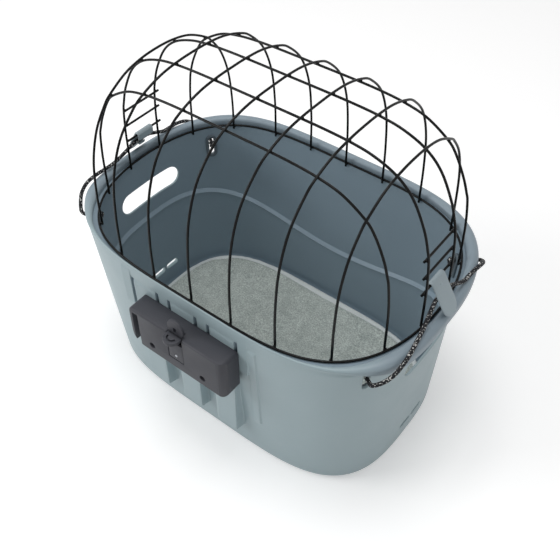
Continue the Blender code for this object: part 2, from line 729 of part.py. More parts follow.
def make_cords():
    frames = {name: rest for name, *rest in corner_frames()}
    for side, word in ((-1, "left"), (1, "right")):
        behind = cord_middle()
        middle = Vector((side * behind[0], 0.0, behind[1]))
        legs = []
        for sy, label, route in ((-1, "near", CORD_NEAR_LEG), (1, "far", CORD_FAR_LEG)):
            base, normal, up = frames[f"{word}_{label}"]
            lift = up * cord_rise()
            inner = WALL + GUIDE_SEAT + GUIDE_SHEET
            leg = [middle, middle + Vector((0.0, sy * HOOK_WIDTH / 2, 0.0))]
            for share, out, up in route:
                turn = math.asin(share ** (SIDE_POWER / 2))
                x, y = oval(shrunk(RING_PLAN, -out), turn)
                leg.append(Vector((side * x, sy * y, RING_HEIGHT + up)))
            leg.append(base + normal * CORD + lift)
            leg.append(base - normal * (inner - GAP) + lift)
            legs.append(leg)
        route = list(reversed(legs[0])) + legs[1][1:]
        cord = wire(f"{word}_cord", smooth_path(route, CORD * 2.4), CORD)
        finish(cord, CORD_GREY, 0.85)


# ---------------------------------------------------------------- cage
def dome_level(x, y):
    share = (abs(x) / DOME_HALF_LENGTH) ** END_POWER + (abs(y) / DOME_HALF_WIDTH) ** SIDE_POWER
    return DOME_RISE * (1 - share ** DOME_MIX_SHARE) ** (1 / DOME_POWER_SHARE)


def dome_reach(level, fixed, along_y):
    """Where a wire that keeps x or y meets a level of the dome."""
    share = (1 - (level / DOME_RISE) ** DOME_POWER_SHARE) ** (1 / DOME_MIX_SHARE)
    if along_y:
        rest = share - (abs(fixed) / DOME_HALF_LENGTH) ** END_POWER
        return DOME_HALF_WIDTH * rest ** (1 / SIDE_POWER)
    rest = share - (abs(fixed) / DOME_HALF_WIDTH) ** SIDE_POWER
    return DOME_HALF_LENGTH * rest ** (1 / END_POWER)


def dome_normal(x, y, z):
    share = (abs(x) / DOME_HALF_LENGTH) ** END_POWER + (abs(y) / DOME_HALF_WIDTH) ** SIDE_POWER
    mix = DOME_MIX_SHARE * share ** (DOME_MIX_SHARE - 1)
    gx = mix * END_POWER * (abs(x) / DOME_HALF_LENGTH) ** (END_POWER - 1) / DOME_HALF_LENGTH
    gy = mix * SIDE_POWER * (abs(y) / DOME_HALF_WIDTH) ** (SIDE_POWER - 1) / DOME_HALF_WIDTH
    gz = DOME_POWER_SHARE * (z / DOME_RISE) ** (DOME_POWER_SHARE - 1) / DOME_RISE
    return Vector((math.copysign(gx, x), math.copysign(gy, y), gz)).normalized()


def place_on_ring(x, y, z):
    return Vector((x, y, RING_HEIGHT + z))


def cross_wire_points(x):
    """Crosswise wire: over the crown by its crossings, then down each side to its foot."""
    half = [0.0, INNER_SPREAD, (INNER_SPREAD + OUTER_SPREAD) / 2, OUTER_SPREAD]
    arm = [(y, dome_level(x, y)) for y in half]
    shoulder = arm[-1][1]
    for degrees in (20, 38, 56, 74):
        level = shoulder * math.cos(math.radians(degrees))
        arm.append((dome_reach(level, x, True), level))
    foot = dome_reach(0.0, x, True)
    arm += [(foot, 0.0), (foot, -FOOT_DROP)]
    left = [place_on_ring(x, -y, z) for y, z in reversed(arm[1:])]
    return left + [place_on_ring(x, y, z) for y, z in arm]


def bar_levels():
    return [BAR_RISE + i * BAR_PITCH for i in range(BAR_COUNT)]


def long_wire_points(y):
    """Lengthwise wire: welded under the crosswise ones, then down each end to its foot."""
    reach = CROSS_PITCH * (CROSS_COUNT // 2)
    steps = [CROSS_PITCH / 2 * i for i in range(CROSS_COUNT)]
    arm = []
    for x in steps:
        z = dome_level(x, y)
        arm.append(Vector((x, y, z)) - dome_normal(x, y, z) * WELD)
    shoulder = dome_level(reach, y)
    top = bar_levels()[-1]
    for share, weld in ((0.78, 1.0), (0.42, 0.75), (0.14, 0.25)):
        level = top + (shoulder - top) * share
        x = dome_reach(level, y, False)
        arm.append(Vector((x, y, level)) - dome_normal(x, y, level) * WELD * weld)
    for level in reversed(bar_levels()):
        arm.append(Vector((dome_reach(level, y, False), y, level)))
    foot = dome_reach(0.0, y, False)
    arm += [Vector((foot, y, 0.0)), Vector((foot, y, -FOOT_DROP))]
    left = [place_on_ring(-p.x, p.y, p.z) for p in reversed(arm[1:])]
    return left + [place_on_ring(p.x, p.y, p.z) for p in arm]


def bar_place(level):
    """Distance of a ladder bar from the middle: inside the wires that carry it."""
    return dome_reach(level, INNER_SPREAD, False) - WELD


def make_cage(hinge):
    ring = []
    count = 56
    for i in range(count):
        turn = 2 * math.pi * i / count
        x, y = oval(RING_PLAN, even_turn(turn))
        ring.append((x, y, RING_HEIGHT))
    finish(wire("cage_ring", ring, WIRE, closed=True), WIRE_BLACK, 0.25, 0.0, hinge)
    for i in range(CROSS_COUNT):
        x = (i - CROSS_COUNT // 2) * CROSS_PITCH
        made = wire(f"cross_wire_{i + 1}", cross_wire_points(x), WIRE)
        finish(made, WIRE_BLACK, 0.25, 0.0, hinge)
    for i, y in enumerate((-OUTER_SPREAD, -INNER_SPREAD, INNER_SPREAD, OUTER_SPREAD)):
        finish(wire(f"long_wire_{i + 1}", long_wire_points(y), WIRE), WIRE_BLACK, 0.25, 0.0,
               hinge)
    for side, word in ((-1, "left"), (1, "right")):
        for i, level in enumerate(bar_levels()):
            x = side * bar_place(level)
            reach = INNER_SPREAD + BAR_STUB
            points = [(x, -reach, RING_HEIGHT + level), (x, reach, RING_HEIGHT + level)]
            finish(wire(f"{word}_ladder_bar_{i + 1}", points, WIRE), WIRE_BLACK, 0.25, 0.0,
                   hinge)


def even_turn(angle):
    """Turn whose point spreads evenly round the ring's corners."""
    c, s = math.cos(angle), math.sin(angle)
    low, high = 0.0, 2 * RING_HALF_LENGTH
    for _ in range(50):
        reach = (low + high) / 2
        share = (abs(reach * c) / RING_HALF_LENGTH) ** END_POWER
        share += (abs(reach * s) / RING_HALF_WIDTH) ** SIDE_POWER
        low, high = (low, reach) if share > 1 else (reach, high)
    along = signed_power(low * c / RING_HALF_LENGTH, END_POWER / 2)
    across = signed_power(low * s / RING_HALF_WIDTH, SIDE_POWER / 2)
    return math.atan2(across, along)


# ---------------------------------------------------------------- hooks
def tab_line():
    """Bar centre, tip, unit direction down the tab and its outward normal, in X and Z."""
    bar = Vector((bar_place(BAR_RISE), RING_HEIGHT + BAR_RISE))
    tip = Vector((RING_HALF_LENGTH + HOOK_TIP_OUT, RING_HEIGHT + HOOK_TIP_RISE))
    curl = WIRE / 2 + GAP + HOOK_SHEET / 2
    reach = tip - bar
    lean = math.asin(curl / reach.length)
    heading = math.atan2(reach.y, reach.x) - lean
    down = Vector((math.cos(heading), math.sin(heading)))
    return bar, tip, down, Vector((-down.y, down.x)), curl


def cord_middle():
    """Where the cord lies behind the tab, in X and Z."""
    bar, tip, down, out, curl = tab_line()
    inset = curl - HOOK_SHEET / 2 - GAP - CORD / 2
    place = bar + down * CORD_BEHIND + out * inset
    return place.x, place.y


def tab_path():
    """Middle line of the folded tab with its half width at each point."""
    bar, tip, down, out, curl = tab_line()
    start = math.atan2(out.y, out.x)
    path = [(bar + Vector((-curl, -HOOK_INNER_LEG)), 1.0)]
    for i in range(9):
        angle = math.pi + (start - math.pi) * i / 8
        path.append((bar + Vector((math.cos(angle), math.sin(angle))) * curl, 1.0))
    foot = bar + out * curl
    length = (tip - foot).length
    half = HOOK_WIDTH / 2
    path.append((foot + down * (length - half), 1.0))
    for degrees in (25, 45, 62, 76, 86):
        reach = half * math.sin(math.radians(degrees))
        path.append((foot + down * (length - half + reach), math.cos(math.radians(degrees))))
    return path


def ribbon(name, path, half, sheet, side):
    """A folded strip of the given thickness, mirrored to its side."""
    frame = bmesh.new()
    rows = []
    for place, share in path:
        row = [frame.verts.new((side * place.x, y * half * share, place.y))
               for y in (-1.0, 0.0, 1.0)]
        rows.append(row)
    for low, high in zip(rows, rows[1:]):
        for i in range(2):
            corners = (low[i], low[i + 1], high[i + 1], high[i])
            frame.faces.new(corners if side > 0 else tuple(reversed(corners)))
    mesh = bpy.data.meshes.new(name)
    frame.to_mesh(mesh)
    frame.free()
    made = bpy.data.objects.new(name, mesh)
    shell = made.modifiers.new("sheet", "SOLIDIFY")
    shell.thickness = sheet
    shell.offset = 0.0
    shell.use_even_offset = True
    return made


def make_hook(word, side, hinge):
    bar, tip, down, out, curl = tab_line()
    hook = ribbon(f"{word}_hook", tab_path(), HOOK_WIDTH / 2, HOOK_SHEET, side)
    root = bar + out * curl + down * (CORD_BEHIND + CORD / 2 + GAP + LUG_SHEET / 2)
    bend = root - out * (HOOK_SHEET / 2 + CORD + GAP * 2 + LUG_SHEET / 2)
    lip = bend - down * (CORD * 0.7)
    lug = ribbon(f"cut_lug_{word}", [(root, 1.0), (bend, 1.0), (lip, 1.0)], LUG_WIDTH / 2,
                 LUG_SHEET, side)
    boolean(hook, cutter(lug), "UNION")
    finish(hook, HOOK_GREY, 0.4, 0.0, hinge)


# ---------------------------------------------------------------- cushion
def make_cushion():
    plan = shrunk(BASE_PLAN, WALL + LEDGE_STEP + CUSHION_CLEAR)
    base = FLOOR + GAP
    turns = [even_turn(2 * math.pi * i / 48) for i in range(48)]

    def row(inset, height):
        return [Vector((*oval(shrunk(plan, inset), turn), base + height)) for turn in turns]
    rows = [row(inset * CUSHION_HEIGHT, up * CUSHION_HEIGHT) for inset, up in CUSHION_SHARES]
    rows += [row(inset * CUSHION_BORDER, up * CUSHION_HEIGHT)
             for inset, up in CUSHION_TOP_SHARES]
    finish(loft("floor_cushion", rows), PLUSH_GREY, 0.95)


# ---------------------------------------------------------------- handlebar mount
def make_housing():
    half = HOUSING_LENGTH / 2
    outline = rounded([(-half, HOUSING_TOP, HOUSING_CORNER), (half, HOUSING_TOP, HOUSING_CORNER),
                       (half, HOUSING_BASE, HOUSING_CORNER),
                       (-half, HOUSING_BASE, HOUSING_TOE_RADIUS)])
    housing = prism("mount_housing", outline, -HOUSING_FRONT, -HOUSING_BACK)
    edge = housing.modifiers.new("edge", "BEVEL")
    edge.width = HOUSING_EDGE
    edge.segments = 2
    edge.limit_method = "ANGLE"
    edge.angle_limit = math.radians(50)

    nose = half - HOUSING_NOSE
    level = HOUSING_HEIGHT + OVERRUN * 2
    corner = [(nose, -HOUSING_FRONT - OVERRUN), (half + OVERRUN, -HOUSING_FRONT - OVERRUN),
              (half + OVERRUN, -HOUSING_FRONT + HOUSING_NOSE * 1.1)]
    for i in range(6):
        angle = math.radians(90 * i / 5)
        corner.append((nose + HOUSING_NOSE * math.cos(angle) + GAP / 10 * (i == 0),
                       -HOUSING_FRONT + HOUSING_NOSE * 1.1 - HOUSING_NOSE * 1.1 * math.sin(angle)
                       - GAP / 10 * (i == 5)))
    trim = prism("cut_nose", corner, HOUSING_BASE - OVERRUN, HOUSING_BASE - OVERRUN + level, "Z")
    boolean(housing, cutter(trim))

    pocket_left = -half + SOCKET_SIDE_WALL
    socket = box("cut_socket", (pocket_left, -HOUSING_FRONT - OVERRUN, HOUSING_BASE - OVERRUN),
                 (pocket_left + SOCKET_WIDTH, -HOUSING_FRONT + SOCKET_DEPTH,
                  HOUSING_TOP - SOCKET_SIDE_WALL))
    boolean(housing, cutter(socket))

    cavity = box("cut_cavity",
                 (pocket_left + SOCKET_WIDTH + HOUSING_WALL, -FRONT_INSIDE,
                  HOUSING_BASE + HOUSING_WALL),
                 (nose, -HOUSING_BACK + OVERRUN, HOUSING_TOP - HOUSING_WALL))
    for side, word in ((-1, "left"), (1, "right")):
        boss = cylinder(f"cut_boss_{word}", BOSS / 2, -HOUSING_FRONT, -HOUSING_BACK + OVERRUN * 2,
                        side * SCREW_SPREAD, SCREW_LEVEL)
        boolean(cavity, cutter(boss))
    boolean(housing, cutter(cavity))

    seat = HOUSING_FRONT - HOUSING_DEPTH / 2
    for side, word in ((-1, "left"), (1, "right")):
        bore = cylinder(f"cut_bore_{word}", SCREW_HEAD / 2 + SCREW_BORE_CLEAR / 2,
                        -HOUSING_FRONT - OVERRUN, -seat, side * SCREW_SPREAD, SCREW_LEVEL)
        boolean(housing, cutter(bore))
        shank = cylinder(f"cut_shank_{word}", SCREW_SHANK / 2 + SCREW_BORE_CLEAR / 2,
                         -HOUSING_FRONT, -HOUSING_BACK + OVERRUN, side * SCREW_SPREAD,
                         SCREW_LEVEL, 12)
        boolean(housing, cutter(shank))

    half_window = PANEL_WIDTH / 2 + GAP
    window = box("cut_window", (-half_window, -HOUSING_FRONT - OVERRUN,
                                RING_HEIGHT - PANEL_BASE_DROP - GAP),
                 (half_window, -FRONT_INSIDE + GAP, HOUSING_TOP + OVERRUN))
    boolean(housing, cutter(window))
    finish(housing, MOUNT_GREY, 0.6)


def make_button(guide):
    """Thumb plate, the block under it and the stem that stands on the spring."""
    front = -HOUSING_FRONT
    top = HOUSING_TOP + BUTTON_TRAVEL / 3
    rear = -FRONT_INSIDE - GAP
    outline = [(LUG_RADIUS, rear), (-LUG_RADIUS, rear)]
    centre = front - PLATE_OUT + LUG_RADIUS
    for i in range(9):
        angle = math.radians(180 + 180 * i / 8)
        outline.append((LUG_RADIUS * math.cos(angle), centre + LUG_RADIUS * math.sin(angle)))
    button = prism("release_button", outline, top - PLATE_SHEET, top, "Z")
    under = top - PLATE_SHEET
    stem_front = -FRONT_INSIDE + STEM_BACK
    block = box("cut_button_block",
                (-STEM_HALF * 1.6, front - BUTTON_TRAVEL, under - BUTTON_BLOCK),
                (STEM_HALF * 1.6, stem_front + STEM_DEPTH, under + OVERRUN / 8))
    boolean(button, cutter(block), "UNION")
    stem = box("cut_button_stem", (-STEM_HALF, stem_front, under - STEM_LENGTH - BUTTON_BLOCK),
               (STEM_HALF, stem_front + STEM_DEPTH, under - BUTTON_BLOCK + OVERRUN / 8))
    boolean(button, cutter(stem), "UNION")
    finish(button, MOUNT_GREY, 0.55, 0.0, guide)

    low = HOUSING_BASE + HOUSING_WALL + GAP + SPRING_WIRE / 2
    high = under - STEM_LENGTH - BUTTON_BLOCK - GAP - SPRING_WIRE / 2
    middle = stem_front + STEM_DEPTH / 2
    count = SPRING_TURNS * 9
    coil = []
    for i in range(count + 1):
        angle = 2 * math.pi * SPRING_TURNS * i / count
        coil.append((SPRING_RADIUS * math.cos(angle), middle + SPRING_RADIUS * math.sin(angle),
                     low + (high - low) * i / count))
    finish(wire("button_spring", coil, SPRING_WIRE, resolution=1), STEEL, 0.3, 1.0)


def make_latch(guide):
    low, high = RING_HEIGHT - PANEL_BASE_DROP, RING_HEIGHT - PANEL_TOP_DROP
    half = PANEL_WIDTH / 2
    front = -HOUSING_FRONT + GAP
    panel = box("latch_panel", (-half, front, low), (half, front + PANEL_SHEET, high))
    for side, word in ((-1, "left"), (1, "right")):
        inner, outer = sorted((side * half, side * (half - RAIL_WIDTH)))
        rail = box(f"cut_rail_{word}", (inner, front + PANEL_SHEET / 2, low),
                   (outer, front + PANEL_SHEET + RAIL_DEPTH, high))
        boolean(panel, cutter(rail), "UNION")
    level = low + PIN_RISE
    hole = cylinder("cut_pin", PIN / 2 + GAP, front - OVERRUN, front + PANEL_SHEET + OVERRUN, 0.0,
                    level)
    boolean(panel, cutter(hole))
    finish(panel, MOUNT_GREY, 0.6, 0.0, guide)
    pin = cylinder("latch_pin", PIN / 2, front - GAP, front + PANEL_SHEET + GAP * 2, 0.0, level)
    finish(pin, STEEL, 0.25, 1.0, guide)


def make_lock_tab():
    """Upright disc with an eye for a padlock, on a foot behind the thumb plate."""
    front = -FRONT_INSIDE + GAP
    low = HOUSING_TOP + GAP
    centre = HOUSING_TOP + LOCK_RISE
    outline = []
    dip = math.asin((low - centre) / LOCK_RADIUS)
    for i in range(15):
        angle = dip + (math.pi - 2 * dip) * i / 14
        outline.append((LOCK_RADIUS * math.cos(angle), centre + LOCK_RADIUS * math.sin(angle)))
    tab = prism("lock_tab", outline, front, front + LOCK_SHEET)
    reach = LOCK_RADIUS * math.cos(dip)
    foot = box("cut_lock_foot", (-reach, front + LOCK_SHEET / 2, low),
               (reach, front + LOCK_FOOT, low + LOCK_FOOT_SHEET))
    boolean(tab, cutter(foot), "UNION")
    eye = box("cut_lock_eye", (-LOCK_EYE_WIDTH / 2, front - OVERRUN,
                               low + LOCK_FOOT_SHEET + GAP),
              (LOCK_EYE_WIDTH / 2, front + LOCK_SHEET + OVERRUN,
               low + LOCK_FOOT_SHEET + GAP + LOCK_EYE_HEIGHT))
    boolean(tab, cutter(eye))
    finish(tab, MOUNT_GREY, 0.55)


def ring_on_y(name, outer, inner, low, high, x, z, sides=16):
    """A flat ring along Y, as a cylinder with its hole cut."""
    made = cylinder(name, outer, low, high, x, z, sides)
    hole = cylinder(f"cut_{name}", inner, low - OVERRUN, high + OVERRUN, x, z, 12)
    boolean(made, cutter(hole))
    return made


def wall_inside(x, level):
    """Inner face of the plain wall on the mount side at a place, above the moulded line."""
    half_length, width, power = shrunk(wall_plan(RING_HEIGHT - level), WALL)[:3]
    return width * (1 - (abs(x) / half_length) ** END_POWER) ** (1 / power)


def make_fasteners():
    """Screws through the housing and the tub, with washers and nuts inside the tub."""
    bore = SCREW_SHANK / 2 + SCREW_BORE_CLEAR / 2
    seat = HOUSING_FRONT - HOUSING_DEPTH / 2
    slope = (NECK_NEAR_WIDTH - BASE_NEAR_WIDTH) / (BASE_DROP - NECK_DROP)
    for side, word in ((-1, "left"), (1, "right")):
        x = side * SCREW_SPREAD
        on_pilaster = any(abs(x - middle) < PILASTER_HALF for middle in PILASTERS)
        if on_pilaster:
            inside = PILASTER_FACE - WALL - GAP
        else:
            inside = wall_inside(x, SCREW_LEVEL) - GAP - slope * WASHER / 2
            outside = wall_inside(x, SCREW_LEVEL) + WALL + GAP + slope * SPACER / 2
            spacer = ring_on_y(f"spacer_{word}", SPACER / 2, bore, -PILASTER_FACE, -outside, x,
                               SCREW_LEVEL)
            finish(spacer, MOUNT_GREY, 0.6)
        washer = ring_on_y(f"washer_{word}", WASHER / 2, bore, -inside, -inside + WASHER_SHEET, x,
                           SCREW_LEVEL)
        finish(washer, STEEL, 0.3, 1.0)
        nut_face = -inside + WASHER_SHEET + GAP
        nut = ring_on_y(f"nut_{word}", NUT / 2 / math.cos(math.radians(30)), bore, nut_face,
                        nut_face + NUT_HEIGHT, x, SCREW_LEVEL, 6)
        finish(nut, STEEL, 0.3, 1.0, smooth=False)
        head = cylinder(f"screw_{word}", SCREW_HEAD / 2, -seat - GAP - SCREW_HEAD_HEIGHT,
                        -seat - GAP, x, SCREW_LEVEL)
        shank = cylinder(f"cut_{word}_screw_shank", SCREW_SHANK / 2, -seat - GAP * 4,
                         nut_face + NUT_HEIGHT + SHANK_END, x, SCREW_LEVEL, 12)
        boolean(head, cutter(shank), "UNION")
        finish(head, STEEL, 0.35, 1.0)


def main():
    bar = bar_place(BAR_RISE)
    bar_level = RING_HEIGHT + BAR_RISE
    cage_hinge = pivot("cage_hinge", (-bar, 0.0, bar_level))
    left_hinge = pivot("left_hook_hinge", (-bar, 0.0, bar_level))
    right_hinge = pivot("right_hook_hinge", (bar, 0.0, bar_level))
    button_guide = pivot("button_guide", (0.0, -HOUSING_FRONT, HOUSING_TOP))
    latch_guide = pivot("latch_guide", (0.0, -HOUSING_FRONT, RING_HEIGHT - PANEL_TOP_DROP))
    make_tub()
    make_corner_hardware()
    make_cage(cage_hinge)
    make_hook("left", -1, left_hinge)
    make_hook("right", 1, right_hinge)
    make_cords()
    make_cushion()
    make_housing()
    make_lock_tab()
    make_button(button_guide)
    make_latch(latch_guide)
    make_fasteners()


main()
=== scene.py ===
import logging
import math
from dataclasses import dataclass, field
from enum import Enum
from typing import Callable, Iterable, Sequence

import bmesh
import bpy
from mathutils import Matrix, Vector, noise


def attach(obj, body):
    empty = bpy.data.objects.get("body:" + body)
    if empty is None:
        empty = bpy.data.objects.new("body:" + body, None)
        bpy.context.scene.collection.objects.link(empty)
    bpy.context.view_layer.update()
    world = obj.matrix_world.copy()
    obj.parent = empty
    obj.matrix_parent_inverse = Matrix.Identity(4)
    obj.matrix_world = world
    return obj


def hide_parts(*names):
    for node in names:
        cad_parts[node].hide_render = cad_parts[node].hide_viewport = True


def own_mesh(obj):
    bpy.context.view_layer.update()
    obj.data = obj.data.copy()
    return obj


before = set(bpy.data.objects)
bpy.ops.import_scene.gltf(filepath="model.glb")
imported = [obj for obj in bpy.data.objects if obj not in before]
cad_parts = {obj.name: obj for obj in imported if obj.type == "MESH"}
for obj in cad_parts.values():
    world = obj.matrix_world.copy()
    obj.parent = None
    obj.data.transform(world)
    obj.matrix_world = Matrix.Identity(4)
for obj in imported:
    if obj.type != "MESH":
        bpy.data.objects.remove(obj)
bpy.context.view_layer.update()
LOG = logging.getLogger("dog_basket")

Rows = list[list[Vector]]
Outline = list[tuple[float, float]]
Socket = bpy.types.NodeSocket
Tree = bpy.types.NodeTree
Node = bpy.types.Node
Piece = bpy.types.Object
Shape = bmesh.types.BMesh

# ---------------------------------------------------------------- the basket's own measures
GAP = 0.0003            # running gap between pieces that touch
OVERRUN = 0.004         # how far a cutter passes the face that it opens
END_POWER = 4.21        # superellipse power along X, the same for the tub and the cage
SIDE_POWER = 2.16       # the same across, for the cage and the tub's far side
RING_HEIGHT = 0.252     # centre line of the cage's ring above the ground
WIRE = 0.003            # cage wire
WALL = 0.003            # tub wall
LEDGE_STEP = 0.0025     # how far the tub's inside steps in under its moulded line
CORD = 0.005            # elastic cord
SLOT_HEIGHT = 0.028     # cord slot with round ends
SLOT_WIDTH = 0.0072
GUIDE_BORDER = 0.0045   # guide plate around its slot
SCREW_SPREAD = 0.0403   # the two mount screws, left and right of the middle
SCREW_LEVEL = 0.1715
CORD_RISE = (SLOT_HEIGHT - CORD) / 2 - SLOT_WIDTH / 2 - GAP     # cord over the slot's middle


class Side(Enum):
    """The two ends of the basket, by the sign of X."""

    LEFT = -1
    RIGHT = 1

    @property
    def word(self) -> str:
        """Name of the end as the CAD nodes spell it."""
        return self.name.lower()


class Edge(Enum):
    """The two long sides, by the sign of Y."""

    NEAR = -1
    FAR = 1

    @property
    def word(self) -> str:
        """Name of the side as the CAD nodes spell it."""
        return self.name.lower()


def signed_power(value: float, power: float) -> float:
    """Power of a number's size that keeps its sign."""
    return math.copysign(abs(value) ** power, value)


def eased(value: float, low: float, high: float) -> float:
    """Smooth step from 0 at low to 1 at high."""
    t = min(1.0, max(0.0, (value - low) / (high - low)))
    return t * t * (3 - 2 * t)


@dataclass(frozen=True)
class Plan:
    """A rounded oval with its own width and fullness on the mount side and on the far side."""

    half_length: float
    near_width: float
    near_power: float
    far_width: float
    far_power: float

    def at(self, turn: float) -> tuple[float, float]:
        """Point of the oval at a turn in radians."""
        width, power = self.across(math.sin(turn) >= 0)
        return (self.half_length * signed_power(math.cos(turn), 2 / END_POWER),
                width * signed_power(math.sin(turn), 2 / power))

    def points(self, turns: Iterable[float], height: float) -> list[Vector]:
        """Its points at the given turns, all at one height."""
        return [Vector((*self.at(turn), height)) for turn in turns]

    def across(self, far: bool) -> tuple[float, float]:
        """Half width and fullness of one side."""
        return (self.far_width, self.far_power) if far else (self.near_width, self.near_power)

    def mixed(self, other: "Plan", share: float) -> "Plan":
        """Plan part of the way to another one."""
        return Plan(*(a + (b - a) * share for a, b in zip(self.row(), other.row())))

    def shrunk(self, depth: float) -> "Plan":
        """Plan drawn in by a depth all round."""
        return Plan(self.half_length - depth, self.near_width - depth, self.near_power,
                    self.far_width - depth, self.far_power)

    def row(self) -> tuple[float, ...]:
        """The five numbers in order."""
        return (self.half_length, self.near_width, self.near_power, self.far_width, self.far_power)

    def end_x(self, y: float) -> float:
        """Distance of the end wall from the middle at a place across."""
        width, power = self.across(y >= 0)
        return self.half_length * (1 - (abs(y) / width) ** power) ** (1 / END_POWER)

    def depth_of(self, x: float, y: float) -> float:
        """How far a point lies inside the oval, along the line to the middle."""
        width, power = self.across(y >= 0)
        share = (abs(x) / self.half_length) ** END_POWER + (abs(y) / width) ** power
        if share <= 0:
            return width
        stretch = share ** (-1 / ((END_POWER + power) / 2))
        return math.hypot(x, y) * (stretch - 1)


RING = Plan(0.231, 0.1588, SIDE_POWER, 0.1588, SIDE_POWER)
NECK = Plan(0.2334, 0.1628, 3.4, 0.1612, SIDE_POWER)
FOOT = Plan(0.220, 0.1452, 3.2, 0.1395, 2.75)
LIP = Plan(0.2475, 0.1634, 3.4, 0.1753, 2.35)
NECK_DROP = 0.009
FOOT_RADIUS = 0.014
FOOT_DROP = RING_HEIGHT - FOOT_RADIUS
FLOOR = 0.0035


def wall_plan(drop: float) -> Plan:
    """Outer plan of the tub's plain wall at a drop below the ring."""
    return NECK.mixed(FOOT, (drop - NECK_DROP) / (FOOT_DROP - NECK_DROP))


def even_turns(count: int, plan: Plan = RING) -> list[float]:
    """Turns whose points lie evenly around a plan, as seen from the middle."""
    turns = []
    for angle in (2 * math.pi * i / count for i in range(count)):
        _, power = plan.across(math.sin(angle) >= 0)
        turns.append(math.atan2(signed_power(math.sin(angle), power / 2),
                                signed_power(math.cos(angle), END_POWER / 2)))
    return turns


def distances(points: Sequence[Vector]) -> list[float]:
    """How far along a line each of its points lies."""
    walked = [0.0]
    for a, b in zip(points, points[1:]):
        walked.append(walked[-1] + (b - a).length)
    return walked


def smooth_path(points: Sequence[Vector], step: float) -> list[Vector]:
    """Even points along a smooth curve through the given points.

    Args:
        points: What the curve passes through.
        step: Distance between the points that come back.

    Returns:
        The points, with both ends kept.
    """
    points = list(points)
    knots = [points[0] * 2 - points[1]] + points + [points[-1] * 2 - points[-2]]
    fine: list[Vector] = []
    for a, b, c, d in zip(knots, knots[1:], knots[2:], knots[3:]):
        for i in range(24):
            t = i / 24
            fine.append((b * 2 + (c - a) * t + (a * 2 - b * 5 + c * 4 - d) * t ** 2
                         + (b * 3 - a - c * 3 + d) * t ** 3) / 2)
    fine.append(points[-1])
    walked = distances(fine)
    count = max(2, round(walked[-1] / step))
    path, index = [fine[0]], 0
    for i in range(1, count):
        goal = walked[-1] * i / count
        while walked[index + 1] < goal:
            index += 1
        part = (goal - walked[index]) / (walked[index + 1] - walked[index])
        path.append(fine[index].lerp(fine[index + 1], part))
    return path + [fine[-1]]


# ---------------------------------------------------------------- mesh helpers
def add_object(name: str, data: bpy.types.ID) -> Piece:
    """Puts a new object in the scene at the origin."""
    made = bpy.data.objects.new(name, data)
    bpy.context.scene.collection.objects.link(made)
    return made


def solid(name: str, shape: Shape, *finishes: "Finish", sharp: float = 38.0,
          recalculate: bool = True) -> Piece:
    """Turns a bmesh into a finished piece.

    Args:
        name: Name of the piece.
        shape: Its mesh, which is freed.
        finishes: Materials in the order of the faces' indices.
        sharp: Edges that turn by more degrees than this stay crisp.
        recalculate: Whether the faces are turned outwards.

    Returns:
        The object.
    """
    if recalculate:
        bmesh.ops.recalc_face_normals(shape, faces=shape.faces)
    for face in shape.faces:
        face.smooth = True
    mesh = bpy.data.meshes.new(name)
    shape.to_mesh(mesh)
    shape.free()
    mesh.set_sharp_from_angle(angle=math.radians(sharp))
    for finish in finishes:
        mesh.materials.append(finish.material())
    return add_object(name, mesh)


def evaluated(piece: Piece) -> bpy.types.Mesh:
    """Gives a piece the mesh that its modifiers make, and takes them off."""
    bpy.context.view_layer.update()
    graph = bpy.context.evaluated_depsgraph_get()
    mesh = bpy.data.meshes.new_from_object(piece.evaluated_get(graph), depsgraph=graph)
    piece.modifiers.clear()
    old, piece.data = piece.data, mesh
    bpy.data.meshes.remove(old)
    return mesh


def settle(piece: Piece, sharp: float = 38.0) -> Piece:
    """Applies a piece's modifiers and removes the tools that they used."""
    tools = [m.object for m in piece.modifiers if m.type == "BOOLEAN"]
    mesh = evaluated(piece)
    for polygon in mesh.polygons:
        polygon.use_smooth = True
    mesh.set_sharp_from_angle(angle=math.radians(sharp))
    for tool in tools:
        bpy.data.objects.remove(tool)
    return piece


def carve(piece: Piece, tool: Piece, operation: str = "DIFFERENCE") -> None:
    """Adds a Boolean step to a piece."""
    step = piece.modifiers.new(tool.name, "BOOLEAN")
    step.operation, step.solver, step.object = operation, "EXACT", tool


def rounded_edges(piece: Piece, width: float, segments: int = 3, angle: float = 50.0,
                  sharp: float = 38.0) -> Piece:
    """Rounds a piece's crisp edges with a Bevel step and applies it."""
    step = piece.modifiers.new("soft_edges", "BEVEL")
    step.width, step.segments = width, segments
    step.limit_method, step.angle_limit = "ANGLE", math.radians(angle)
    step.use_clamp_overlap = True
    return settle(piece, sharp)


def loft(rows: Rows, looped: bool = False, inner_from: int | None = None) -> Shape:
    """Skins closed rows of points.

    Args:
        rows: Rows with the same number of points.
        looped: Whether the last row joins the first; if not, both ends are closed by a face.
        inner_from: First row whose faces take the second material.

    Returns:
        The closed mesh.
    """
    shape = bmesh.new()
    grid = [[shape.verts.new(point) for point in row] for row in rows]
    count = len(grid[0])
    pairs = list(zip(grid, grid[1:])) + ([(grid[-1], grid[0])] if looped else [])
    for index, (low, high) in enumerate(pairs):
        for i in range(count):
            j = (i + 1) % count
            face = shape.faces.new((low[i], low[j], high[j], high[i]))
            if inner_from is not None and index >= inner_from:
                face.material_index = 1
    if not looped:
        shape.faces.new(list(reversed(grid[0])))
        face = shape.faces.new(grid[-1])
        face.material_index = 1 if inner_from is not None else 0
    return shape


